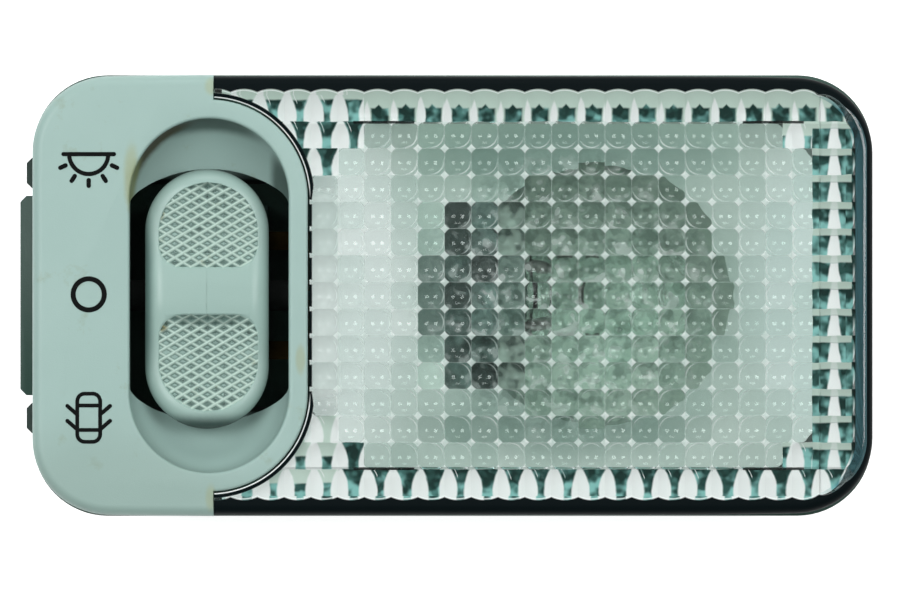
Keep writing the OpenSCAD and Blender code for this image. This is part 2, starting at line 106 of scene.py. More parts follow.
def newMaterial(name):
    material = bpy.data.materials.new(name)
    material.use_nodes = True
    tree = material.node_tree
    tree.nodes.clear()
    output = addNode(tree, "ShaderNodeOutputMaterial")
    place = addNode(tree, "ShaderNodeTexCoord").outputs["Object"]
    return material, tree, output, place


# mesh helpers
def newObject(name, vertices, faces):
    mesh = bpy.data.meshes.new(name)
    mesh.from_pydata([Vector(v) * mm for v in vertices], [], faces)
    mesh.update()
    piece = bpy.data.objects.new(name, mesh)
    bpy.context.scene.collection.objects.link(piece)
    return piece


# Joins rings of equal count into one closed shell, with a cap at each end
def loftRings(rings, name="tool"):
    count = len(rings[0])
    faces = []
    for r in range(len(rings) - 1):
        a, b = r * count, (r + 1) * count
        for i in range(count):
            j = (i + 1) % count
            faces.append((a + i, a + j, b + j, b + i))
    faces.append(tuple(range(count - 1, -1, -1)))
    last = (len(rings) - 1) * count
    faces.append(tuple(last + i for i in range(count)))
    piece = newObject(name, [point for ring in rings for point in ring], faces)
    turnOutward(piece)
    return piece


def turnOutward(piece):
    work = bmesh.new()
    work.from_mesh(piece.data)
    bmesh.ops.recalc_face_normals(work, faces=work.faces)
    if work.calc_volume(signed=True) < 0:
        bmesh.ops.reverse_faces(work, faces=work.faces)
    work.to_mesh(piece.data)
    work.free()


# Points on an arc in degrees, both ends included
def arc(x, y, radius, start=0, sweep=360, steps=40):
    turns = [math.radians(start + sweep * i / steps) for i in range(steps + 1)]
    return [(x + radius * math.cos(a), y + radius * math.sin(a)) for a in turns]


# Slot-shaped outline: two half circles joined by straights
def slotOutline(x, radius, straight, z, arcSteps=40, straightSteps=1, shiftY=0.0):
    points = []
    for side, start in ((1, 0), (-1, 180)):
        points += arc(x, side * straight, radius, start, 180, arcSteps)
        for i in range(1, straightSteps):
            points.append((x - side * radius, side * straight * (1 - 2 * i / straightSteps)))
    return [(px, py + shiftY, z) for px, py in points]


# Outline round the switch's well
def wellOutline(radius, z):
    return slotOutline(lamp["wellX"], radius, lamp["wellStraight"], z)


# Rounded rectangle whose long sides fall away a little towards the corners, as the moulding's do
def faceOutline(halfX, halfY, radius, z, fall=0.28, arcSteps=20, sideSteps=24):
    farX, farY = halfX - radius, halfY - radius
    corners = [arc(sx * farX, sy * farY, radius, start, 90, arcSteps)
               for sx, sy, start in ((1, 1, 0), (-1, 1, 90), (-1, -1, 180), (1, -1, 270))]
    points = []
    for n, corner in enumerate(corners):
        (x0, y0), (x1, y1) = corner[-1], corners[(n + 1) % 4][0]
        points += corner + [(x0 + (x1 - x0) * i / sideSteps, y0 + (y1 - y0) * i / sideSteps)
                            for i in range(1, sideSteps)]
    bent = []
    for x, y in points:
        drop = fall * min(1.0, abs(x) / 48.0) ** 7 * min(1.0, abs(y) / farY)  # full from 48 mm out
        bent.append((x, y - math.copysign(drop, y), z))
    return bent


# Insets and heights of a rounded upper edge
def edgeSteps(topZ, radius, steps=8):
    turns = [math.pi / 2 * i / steps for i in range(steps + 1)]
    return [(radius * (1 - math.cos(a)), topZ - radius + radius * math.sin(a)) for a in turns]


# The lamp's outer shell with its rounded upper edge
def makeShell(name, halfY, steps):
    s = lamp
    levels = [(0, s["seatZ"])] + edgeSteps(s["topZ"], s["edge"], steps)
    return loftRings([faceOutline(s["faceX"] - inset, halfY - inset, s["cornerRadius"] - inset, z)
                      for inset, z in levels], name)


# How much wider a tool is at each height, so that it leaves a tiny rounding on the edge it cuts
def toolGrowth(edge):
    top = lamp["topZ"]
    return (0, -2), (0, top - edge), (edge * 0.3, top - edge * 0.4), (edge, top), (edge, top + 3)


# A tool that cuts off all from x to far
def endTool(x, far, edge):
    rings = []
    for grow, z in toolGrowth(edge):
        x0, x1 = sorted((x - math.copysign(grow, far), far))
        rings.append([(x0, -40, z), (x1, -40, z), (x1, 40, z), (x0, 40, z)])
    return loftRings(rings)


def block(x0, x1, y0, y1, z0, z1):
    return loftRings([[(x0, y0, z), (x1, y0, z), (x1, y1, z), (x0, y1, z)] for z in (z0, z1)])


def post(x, y, z0, z1, radius):
    return loftRings([[(px, py, z) for px, py in arc(x, y, radius)[:-1]] for z in (z0, z1)])


# A round bar along X
def crossBar(x0, x1, y, z, radius, steps=48):
    return loftRings([[(x, py, pz) for py, pz in arc(y, z, radius, steps=steps)[:-1]] for x in (x0, x1)])


# Cuts, joins or intersects with a tool, then removes the tool
def carve(piece, tool, operation="DIFFERENCE", solver="MANIFOLD"):
    modifier = piece.modifiers.new("carve", "BOOLEAN")
    modifier.operation = operation
    modifier.solver = solver
    modifier.object = tool
    settle(piece)
    bpy.data.objects.remove(tool)
    return piece


# Turns an object's modifiers into plain mesh
def settle(piece):
    graph = bpy.context.evaluated_depsgraph_get()
    mesh = bpy.data.meshes.new_from_object(piece.evaluated_get(graph))
    piece.modifiers.clear()
    old = piece.data
    piece.data = mesh
    mesh.name = piece.name
    bpy.data.meshes.remove(old)
    return piece


def smooth(piece, angle=30, flatFrom=9.0):
    for polygon in piece.data.polygons:
        polygon.use_smooth = polygon.area < flatFrom * mm * mm  # a wide flat face keeps its own normal
    piece.data.set_sharp_from_angle(angle=math.radians(angle))


def finishPiece(piece, body, slotName, material, *replaced):
    piece.data.materials.clear()
    piece.data.materials.append(material)
    for polygon in piece.data.polygons:
        polygon.material_index = 0
    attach(piece, body)
    if replaced:
        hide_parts(*replaced)
    return piece


# materials
# Noise scales are per metre, so 90 gives clouds about 11 mm wide
absSkin = {
    "cloudScale": 90.0, "frayScale": 420.0, "grimeSoft": 0.12, "stainAndShadeSoft": 0.55, "rubbedAt": (0.02, 0.75),
    "greaseRoughness": 0.95, "grainDepth": 0.00003, "glossSpread": 0.05, "ior": 1.53,
}


# Moulded ABS, spark-eroded mould texture: even satin skin with faint mottling, grime specks and stains, and
# patches of painted light and shade
def makeMouldedAbs(name, look):
    skin = absSkin
    material, tree, output, place = newMaterial(name)
    cloud = addNode(tree, "ShaderNodeTexNoise", None, {
        "Vector": place, "Scale": skin["cloudScale"], "Detail": 4.0, "Roughness": 0.6}).outputs["Fac"]
    layers = [(cloud, look["mottle"])]
    if "grime" in look:
        specks = addNode(tree, "ShaderNodeTexNoise", None, {
            "Vector": place, "Scale": look["grimeScale"], "Detail": 6.0, "Roughness": 0.7})
        spots = addNode(tree, "ShaderNodeMapRange", {"clamp": True}, {
            "Value": specks.outputs["Fac"], "From Min": look["grimeFrom"],
            "From Max": look["grimeFrom"] + skin["grimeSoft"],
            "To Min": 0.0, "To Max": look["grimeAmount"]})
        layers.append((spots.outputs["Result"], look["grime"]))
    fray = addNode(tree, "ShaderNodeTexNoise", None, {
        "Vector": place, "Scale": skin["frayScale"], "Detail": 6.0, "Roughness": 0.7}).outputs["Fac"]
    for centre, size, tone, amount, edge in look["stains"]:
        ragged = addNode(tree, "ShaderNodeMath", {"operation": "MULTIPLY_ADD"}, {
            0: fray, 1: edge, 2: addBall(tree, place, centre, size)})
        shade = addNode(tree, "ShaderNodeMapRange", {"interpolation_type": "SMOOTHSTEP"}, {
            "Value": ragged.outputs["Value"], "From Min": 0.6 * edge,
            "From Max": 0.6 * edge + skin["stainAndShadeSoft"], "To Min": 0.0, "To Max": amount})
        layers.append((shade.outputs["Result"], tone))
    if "pit" in look:
        # Painted shade in the knurl's pits; the ridges keep the plain colour
        crest = addNode(tree, "ShaderNodeAttribute", {"attribute_name": "crest"})
        rubbed = addNode(tree, "ShaderNodeMapRange", {"interpolation_type": "SMOOTHSTEP"}, {
            "Value": crest.outputs["Fac"], "From Min": skin["rubbedAt"][0], "From Max": skin["rubbedAt"][1],
            "To Min": look["pitAmount"], "To Max": 0.0})
        layers.append((rubbed.outputs["Result"], look["pit"]))
    dull = 0.0
    if "grease" in look:
        # Painted shade, low in the well and under the cap's edge: darker there and without shine
        depth = addNode(tree, "ShaderNodeSeparateXYZ", None, {0: place}).outputs["Z"]
        dull = addNode(tree, "ShaderNodeMapRange", {"interpolation_type": "SMOOTHSTEP"}, {
            "Value": depth, "From Min": look["greaseZ"] * mm, "From Max": look["shadeEndZ"] * mm,
            "To Min": 1.0, "To Max": 0.0}).outputs["Result"]
        layers.append((dull, look["grease"]))
    grain = addNode(tree, "ShaderNodeTexNoise", None, {
        "Vector": place, "Scale": 1000 / look["grainMm"], "Detail": 2.0, "Roughness": 0.5})
    bump = addNode(tree, "ShaderNodeBump", None, {
        "Strength": look["grainStrength"], "Distance": skin["grainDepth"], "Height": grain.outputs["Fac"]})
    gloss = addNode(tree, "ShaderNodeMapRange", None, {
        "Value": cloud, "To Min": look["roughness"] - skin["glossSpread"],
        "To Max": look["roughness"] + skin["glossSpread"]})
    satin = addNode(tree, "ShaderNodeMix", {"data_type": "FLOAT"}, {
        "Factor": dull, "A": gloss.outputs["Result"], "B": skin["greaseRoughness"]})
    colour = hexToLinear(look["colour"])
    for share, tone in layers:
        colour = addNode(tree, "ShaderNodeMix", {"data_type": "RGBA"}, {
            "Factor": share, "A": colour, "B": hexToLinear(tone)}).outputs["Result"]
    shader = addNode(tree, "ShaderNodeBsdfPrincipled", None, {
        "Base Color": colour, "Roughness": satin.outputs["Result"], "IOR": skin["ior"],
        "Normal": bump.outputs["Normal"]})
    tree.links.new(shader.outputs["BSDF"], output.inputs["Surface"])
    return material


# Stains and painted light and shade: centre and half sizes in millimetres, colour, strength and how ragged
# the edge is
absLooks = {
    "bezel": {
        "colour": "#abc9c2", "mottle": "#a2c1ba", "grime": "#8c9a78", "grimeScale": 150.0,
        # Painted shade deep in the well, darkest at the lower height given and gone at the upper one
        "grimeFrom": 0.62, "grimeAmount": 0.45, "grease": "#131a18", "greaseZ": -2.2, "shadeEndZ": 1.5,
        "grainMm": 0.16, "grainStrength": 0.5, "roughness": 0.46,
        "stains": (
            ((-45, -30, 9), (26, 17, 9), "#93ada4", 0.5, 0.1),
            # Painted shade under the well's upper rim
            ((-31.9, 23.4, 6.2), (12.5, 5.2, 3.0), "#3b4f48", 0.75, 0.1),
            # Brown dirt on the upper left of the well's rim, darkened further as painted shade
            ((-38.5, 19.5, 6.8), (7.5, 7.5, 2.4), "#4b4630", 0.95, 0.35),
            # Painted shade on the well's right wall
            ((-22.0, 14.0, 5.2), (2.6, 9.0, 4.2), "#3c4f48", 0.8, 0.1),
            ((-41.6, 14.0, 7.4), (2.0, 6.5, 2.6), "#848f5c", 0.8, 0.3),
            ((-42.0, 15.5, 9), (1.4, 6.0, 1.5), "#a3ad80", 0.6, 0.4),
            ((-19.9, -8.4, 9), (0.9, 2.6, 1.2), "#a3ab80", 0.5, 0.3),
            ((-31.6, 27.4, 9), (1.2, 1.6, 1.5), "#aab688", 0.5, 0.4),
            ((-31.6, -26.5, 9), (1.0, 2.4, 1.5), "#a3ae86", 0.5, 0.4),
        )},
    "rocker": {
        "colour": "#a9c7be", "mottle": "#a1c0b8", "grime": "#8c9a78", "grimeScale": 220.0,
        # Painted shade low on the cap's sides and round its pins, darkest at the lower height given
        "grimeFrom": 0.68, "grimeAmount": 0.35, "grease": "#0c110f", "greaseZ": 4.4, "shadeEndZ": 7.9,
        "grainMm": 0.16, "grainStrength": 0.35, "roughness": 0.36,
        "stains": (
            # Painted shade at the cap's lower end
            ((-32.2, -18.6, 6.6), (10, 4.2, 3.8), "#2f4641", 0.95, 0.1),
            # Painted shade on the cap's sides about its middle
            ((-32.2, 0.0, 6.0), (10, 5.0, 1.6), "#51706a", 0.5, 0.1),
            # Painted shade on the cap's left side
            ((-41.0, 0.0, 6.4), (2.6, 17.0, 3.6), "#3f615c", 0.7, 0.1),
        )},
    "pad": {
        "colour": "#cbe3d8", "mottle": "#bcd7cc", "grime": "#8a8a5c", "grimeScale": 300.0, "grimeFrom": 0.6,
        "grimeAmount": 0.6,
        # Painted shade in the knurl's pits
        "pit": "#4c6d66", "pitAmount": 0.85, "grainMm": 0.16, "grainStrength": 0.3, "roughness": 0.42,
        "stains": (
            # Painted shadow along the upper pad's outer rim
            ((-32, 15.2, 7.5), (7, 1.4, 3), "#3f5a50", 0.7, 0.2),
            # Painted shadow along the lower pad's inner rim
            ((-32, -3.0, 7.5), (7, 1.3, 3), "#3f5a50", 0.6, 0.2),
            ((-38.3, 11.5, 7.5), (0.9, 2.2, 3), "#77713f", 0.9, 0.4),
            ((-38.0, -3.9, 7.5), (1.0, 1.2, 3), "#77713f", 0.9, 0.4),
        )},
    "housing": {
        "colour": "#30564a", "mottle": "#2c4e44", "grainMm": 0.25, "grainStrength": 0.8, "roughness": 0.5,
        "stains": (
            # Painted light inside the housing, under the lens
            ((16, 0, -9), (50, 34, 16), "#5f8688", 0.9, 0.05),
            # Painted light on the housing's upper rim, under the lens
            ((16, 0, 1.5), (52, 38, 3.5), "#a9c2b6", 0.9, 0.05),
            # Painted shade under the switch's well
            ((-31.9, 0, -4), (14, 26, 16), "#0c100f", 1.0, 0.05),
            # Painted light on the floor between the holder and the bowl
            ((8.4, 10.5, -9), (6, 8, 20), "#d3e4dc", 1.0, 0.05),
            ((8.4, -10.5, -9), (6, 8, 20), "#d3e4dc", 1.0, 0.05),
        )},
    "plate": {
        "colour": "#d3e0da", "mottle": "#cad9d2", "grainMm": 0.3, "grainStrength": 0.3, "roughness": 0.4,
        "stains": (
            # Painted shade: the plate darker over its upper rows and round the bowl
            ((14, 22, 0), (34, 14, 12), "#8eab9d", 0.85, 0.1),
            ((16, 18.4, 0), (26, 5.5, 12), "#728c84", 0.7, 0.1),
            ((14, -17.0, 0), (26, 5.5, 12), "#7d968c", 0.85, 0.1),
            ((18.6, 0, 0), (27, 25, 12), "#8ea89d", 0.92, 0.05),
            # Painted light: the plate lighter beside the ring and at its right end
            ((-15, 0, 0), (14, 30, 12), "#fdffff", 1.0, 0.05),
            ((47, 0, 0), (12, 26, 12), "#e6f2f0", 0.9, 0.05),
        )},
    "holder": {
        "colour": "#1b2a27", "mottle": "#26403a", "grime": "#7d9c94", "grimeScale": 330.0, "grimeFrom": 0.5,
        "grimeAmount": 0.75,
        "grainMm": 0.2, "grainStrength": 0.6, "roughness": 0.45,
        "stains": (
            # Painted light: the black holder lightened where it is seen through the lens
            ((-2.8, 10.5, 0), (3.2, 7.5, 12), "#dcefe6", 1.0, 0.05),
            ((-2.8, -10.5, 0), (3.2, 6.5, 12), "#dcefe6", 1.0, 0.05),
            ((-2.8, 0.0, 0), (2.6, 12.0, 12), "#7f988f", 0.6, 0.3),
            ((8.2, 0, 0), (2.8, 16, 12), "#7a9389", 0.85, 0.1),
        )},
}
bezelAbs = makeMouldedAbs("moulded_abs_bezel", absLooks["bezel"])
rockerAbs = makeMouldedAbs("moulded_abs_rocker", absLooks["rocker"])
padAbs = makeMouldedAbs("knurled_abs_pad", absLooks["pad"])
housingAbs = makeMouldedAbs("moulded_abs_housing", absLooks["housing"])
plateAbs = makeMouldedAbs("white_abs_plate", absLooks["plate"])
holderPbt = makeMouldedAbs("black_pbt_holder", absLooks["holder"])


# Moulded clear plastic or blown glass: bends light; lets the lamps' light through to what lies behind it
def makeClear(name, look):
    material, tree, output, place = newMaterial(name)
    haze = addNode(tree, "ShaderNodeTexNoise", None, {"Vector": place, "Scale": 400.0, "Detail": 3.0})
    rough = addNode(tree, "ShaderNodeMapRange", None, {
        "Value": haze.outputs["Fac"], "From Min": 0.35, "From Max": 0.7,
        "To Min": look["roughness"], "To Max": look["roughness"] * 2.2}).outputs["Result"]
    shader = addNode(tree, "ShaderNodeBsdfPrincipled", None, {
        "Base Color": hexToLinear(look["tint"]), "Roughness": rough, "IOR": look["ior"],
        "Specular IOR Level": look.get("specular", 0.5), "Transmission Weight": 1.0})
    passing = addNode(tree, "ShaderNodeBsdfTransparent", None, {"Color": hexToLinear(look["passing"])})
    # Painted light and shade: the pattern lays the light, dark and tinted parts that the cushions show onto
    # the lens itself
    if "pattern" in look:
        known = prismMasks(tree, place, look["pattern"])
        # Dark cells: painted shade from deep green to teal in patches, standing for what lies behind the
        # walls
        teal = addNode(tree, "ShaderNodeMapRange", {"interpolation_type": "SMOOTHSTEP"}, {
            "Value": known["tealAt"], "From Min": 0.4, "From Max": 0.66})
        deep = addNode(tree, "ShaderNodeMix", {"data_type": "RGBA"}, {
            "Factor": teal.outputs["Result"], "A": hexToLinear(look["deepShade"]),
            "B": hexToLinear(look["tealTint"])})
        tone = hexToLinear(look["tint"])
        for share, over in (
            ("chance", hexToLinear(look["tintLow"])), ("veil", hexToLinear(look["veilTint"])),
            ("darkTone", hexToLinear(look["patchShade"])), ("isBorder", deep.outputs["Result"]),
            ("greenPart", hexToLinear(look["archTint"])), ("foot", hexToLinear(look["footTint"])),
            ("white", hexToLinear(look["whiteTint"])), ("dark", hexToLinear(look["wallShade"])),
        ):
            tone = addNode(tree, "ShaderNodeMix", {"data_type": "RGBA"}, {
                "Factor": known[share], "A": tone, "B": over}).outputs["Result"]
        # The walls are left as the mould cut them, less polished than the face
        satin = addNode(tree, "ShaderNodeMix", {"data_type": "FLOAT"}, {
            "Factor": known["atWall"], "A": rough, "B": look["wallRoughness"]})
        shade = addNode(tree, "ShaderNodeMix", {"data_type": "RGBA"}, {
            "Factor": known["amount"], "A": (0, 0, 0, 1), "B": hexToLinear(look["passing"])})
        for value, node, key in (
            (tone, shader, "Base Color"), (satin.outputs["Result"], shader, "Roughness"),
            (known["through"], shader, "Transmission Weight"),
            (shade.outputs["Result"], passing, "Color"),
        ):
            tree.links.new(value, node.inputs[key])
    path = addNode(tree, "ShaderNodeLightPath")
    lamps = addNode(tree, "ShaderNodeMath", {"operation": "MAXIMUM"}, {
        0: path.outputs["Is Shadow Ray"], 1: path.outputs["Is Diffuse Ray"]})
    mix = addNode(tree, "ShaderNodeMixShader", None, {
        "Fac": lamps.outputs["Value"], 1: shader.outputs["BSDF"], 2: passing.outputs["BSDF"]})
    tree.links.new(mix.outputs["Shader"], output.inputs["Surface"])
    return material


# What the eye meets in each cell of the lens, as shares between 0 and 1 by name: painted light and shade that
# stand for what the cushions show
def prismMasks(tree, place, sizes):
    spot = addNode(tree, "ShaderNodeSeparateXYZ", None, {0: place}).outputs
    uneven = addNode(tree, "ShaderNodeTexNoise", None, {"Vector": place, "Scale": 420.0, "Detail": 2.0})
    sway = addNode(tree, "ShaderNodeSeparateXYZ", None, {0: uneven.outputs["Color"]}).outputs
    # Each cell is a touch different, as cushions cut one by one into a mould are
    perMetre = 1000 / lamp["pitch"]
    cellAt = addNode(tree, "ShaderNodeMapping", None, {
        "Vector": place, "Location": (-lamp["firstColumn"] / lamp["pitch"], 0.5, 0.5),
        "Scale": (perMetre, perMetre, 0.0)})
    cellFloor = addNode(tree, "ShaderNodeVectorMath", {"operation": "FLOOR"}, {0: cellAt.outputs["Vector"]})
    chance = addNode(tree, "ShaderNodeTexWhiteNoise", None, {"Vector": cellFloor.outputs["Vector"]})
    apart = addNode(tree, "ShaderNodeVectorMath", {"operation": "ADD"}, {
        0: place, 1: chance.outputs["Color"]})
    patches = addNode(tree, "ShaderNodeTexNoise", None, {
        "Vector": apart.outputs["Vector"], "Scale": 620.0, "Detail": 1.0})
    known = dict(lamp, **sizes)
    known.update({
        "metresX": spot["X"], "metresY": spot["Y"], "metresZ": spot["Z"], "noiseX": sway["X"],
        "noiseY": sway["Y"], "chance": chance.outputs["Value"], "patchNoise": patches.outputs["Fac"]})
    addFormulas(tree, known, (
        # Place in the cell, in millimetres from its middle
        "x = metresX * 1000",
        "y = metresY * 1000",
        "z = metresZ * 1000",
        "sizeY = y abs",
        "halfPitch = pitch / 2",
        "cellX = x - firstColumn % pitch - halfPitch",
        "cellY = y + halfPitch % pitch - halfPitch",
        "squareX = cellX * cellX",
        "squares = cellY * cellY + squareX",
        "away = squares sqrt",
        "sideY = cellY abs",
        # Painted light: white flats between round cushions, fine white joins, and a bright crescent towards
        # the lens's middle
        "joins = cellX abs max sideY - joinFrom / joinSoft clamp * joinFrost",
        "fromCentreX = x - centreX",
        "farY = y * y",
        "awayFar = fromCentreX * fromCentreX + farY sqrt + farSoft * away",
        "pullY = cellY * y",
        "facing = cellX * fromCentreX + pullY / awayFar * -1 - facingFrom * facingRate clamp",
        "rimShare = away - crescentAt abs / crescentHalf",
        "crescent = 1 - rimShare clamp * facing * crescentFrost",
        "frostCell = away - starFrom / starSoft clamp * starFrost max joins max crescent",
        # The cells along the walls, each a little uneven, with downY and seamX from a cell's middle and seam
        "bentX = noiseX - 0.5 * sway + x",
        "bentY = noiseY - 0.5 * sway + y",
        "bentFirst = bentX - firstColumn",
        "seamX = bentFirst + halfPitch % pitch - halfPitch",
        "bentCell = bentFirst % pitch - halfPitch",
        "lowEnd = 0 - rowEnd",
        "bentRun = bentY min rowEnd max lowEnd + halfPitch % pitch",
        "downY = halfPitch - bentRun",
        "isRight = bentX > rightFrom",
        "isTop = bentY > rowFrom",
        "lowFrom = 0 - rowFrom",
        "isRow = bentY < lowFrom max isTop",
        # The second and third row belong to them at the lens's ends
        "bentSide = bentY abs",
        "secondFrom = rowFrom - pitch",
        "isSecond = bentSide > secondFrom",
        "thirdFrom = secondFrom - pitch",
        "isThird = bentSide > thirdFrom",
        "isEnd = x - middleX abs > endFrom",
        "isFarLeft = x < leftFrom",
        "thirdEnd = isThird * isFarLeft",
        "rowOrCorner = isSecond * isEnd max thirdEnd - isRight clamp max isRow",
        "rightOnly = isRight - isRow clamp",
        "isBorder = rowOrCorner max isRight",
        "isInner = 1 - isBorder",
        # Over the lamp holder and the bowl, painted dark and light patches stand for the cushions breaking
        # the view up
        "lampShareX = x - lampX / lampHalfX",
        "lampShareY = y / lampHalfY",
        "lampYY = lampShareY * lampShareY",
        "lampFar = lampShareX * lampShareX + lampYY sqrt",
        "overLamp = 1 - lampFar * lampRate clamp * isInner",
        "patchAt = cellY * patchRate + patchNoise",
        "notStar = 1 - frostCell",
        "darkTone = darkBelow - patchAt * darkRate clamp * overLamp * notStar * patchDark",
        "frostFlecks = patchAt - lightAbove * lightRate clamp * overLamp * patchLight max frostCell",
        # Stray light veils the cells over the deep gap between the holder and the bowl
        "isGapY = sizeY - gapY abs < pitch",
        "isGap = x - gapX abs < halfPitch * isGapY",
        "veil = isGap * notStar",
        # Arches: how far down each cell the light part reaches, with a dark slot under it
        "leftEnd = middleX - endFrom",
        "isLeftEnd = x < leftEnd",
        "topMiddle = 1 - isLeftEnd * isTop",
        "archEnd = isTop * isLeftEnd * endReach",
        "lowLeft = y < 0 * isFarLeft",
        "archLow = isThird - isSecond * lowLeft + lowLeft * lowReach",
        "secondOnly = isSecond - isRow clamp",
        "rightReach = y > 0 * overReach + underReach",
        "archRight = isEnd - isLeftEnd * secondOnly * rightReach",
        "peakSide = bentCell - peakX abs",
        "peak = peakHalf - peakSide max 0 clamp * topMiddle",
        "archLine = topMiddle * topReach + archEnd + archLow + archRight - archFrom - peak",
        "besideSlot = bentCell - slotX abs - slotHalf / slotSoft clamp * topMiddle",
        "arch = archLine - downY / archSoft clamp max besideSlot * rowOrCorner",
        # White drops at the seams, wider at the foot of the cell, some with a thin line beside them
        "dropSide = seamX - dropX abs",
        "dropLess = topMiddle * dropTopCut",
        "dropBend = downY * downY * dropRound",
        "dropMore = chance * luckWide",
        "toDrop = downY * dropRate - dropBend + dropMore + dropHalf - dropLess - dropSide",
        "drop = toDrop / dropSoft clamp * rowOrCorner",
        "lineSide = toDrop + lineAway abs",
        "lineRight = seamX > lineFrom",
        "notTop = rowOrCorner - topMiddle",
        "luck = chance > luckFrom",
        "dropLine = lineHalf - lineSide / lineSoft clamp * lineRight * notTop * luck",
        # The right side: bars, and pillars that widen downwards
        "pillarSide = bentX - pillarX abs",
        "pillar = downY * pillarRate + pillarHalf - pillarSide / barSoft clamp * rightOnly",
        "faint = pillar * pillarFaint",
        "beforeWall = barX - bentX / wallSoft clamp",
        "barTop = 0 - barFrom",
        "bar = barTop - downY / barSoft clamp * beforeWall * rightOnly",
        # Distance in from the outline: painted shade on a wall that sags between the columns, with a painted
        # bright edge
        "cornerX = faceX - cornerRadius",
        "overX = x - cornerX max 0",
        "cornerY = lensY - cornerRadius",
        "overY = sizeY - cornerY max 0",
        "overYY = overY * overY",
        "over = overX * overX + overYY",
        "spread = over sqrt",
        "inset = cornerRadius - spread",
        "rowShare = overYY / over",
        "tilt = y * wallTilt",
        "toWall = squareX * wallSag + wallRows - tilt * rowShare + wallRight - inset",
        "atWall = toWall / wallSoft clamp",
        "edgeSide = toWall + edgeHalf abs",
        "atEdge = edgeHalf - edgeSide / lineSoft clamp",
        # The foot of the wall at the right, with a bright line that is stronger low in each cell
        "toFoot = footFrom - inset",
        "notRow = 1 - rowShare",
        "foot = toFoot / footSoft clamp * isRight * notRow",
        "footSide = toFoot + footLine abs",
        "footShare = downY * footRate + footStart clamp",
        "notFoot = 1 - foot",
        # Tones of the cells along the walls
        "tealLess = topMiddle * tealTop",
        "tealAt = downY * tealRate + patchNoise - tealLess",
        "cellWhite = 1 - bar * pillar max faint max drop max dropLine",
        "anyWhite = footLine - footSide / lineSoft clamp * footShare * rightOnly max cellWhite",
        "greenPart = arch max bar * notFoot",
        "frostWall = isBorder * borderFrost max atEdge",
        # The switch's ring has dark dashes, and a white line where it curves. The column beside it is whiter
        "ringX = x - wellX",
        "ringY = sizeY - wellStraight max 0",
        "ringYY = ringY * ringY",
        "fromRing = ringX * ringX + ringYY sqrt - ringRadius",
        "curved = ringY * curveRate min 1 clamp",
        "broken = notchY - sideY / footSoft clamp max curved",
        "dashFar = curved * dashGrow",
        "dashed = dashFar + dashWidth - fromRing / footSoft clamp * broken",
        "ringWhite = ringLine - fromRing / joinSoft clamp * curved",
        "nearShare = fromRing / nearReach",
        "notCurved = 1 - curved",
        "nearWhite = 1 - nearShare clamp * notCurved * nearFrost",
        # All of it together, under the face and on the upper part of the walls: where light and shade are
        # painted, less light passes through
        "dark = atWall max dashed - ringWhite clamp",
        "edgeTone = atEdge * edgeWhite",
        "white = anyWhite * notFoot max edgeTone max ringWhite clamp",
        "frostFace = isGap * patchAt max frostFlecks * isInner max frostWall max nearWhite",
        "frostSide = z - wallZ / wallRise clamp * atWall max dashed max ringWhite",
        "frost = faceFrom - z / joinSoft clamp * frostFace max frostSide",
        "through = 1 - frost",
        # Light that a cushion gathers falls brighter under its middle, and the walls pipe theirs away
        "gatherFar = pitch * gatherShare",
        "gatherSquare = gatherFar * gatherFar",
        "loss = squares / gatherSquare * gather * isInner",
        "open = z - wallZ / passRise min 1 max wallPass",
        "amount = 1 - loss clamp * open",
    ))
    return known


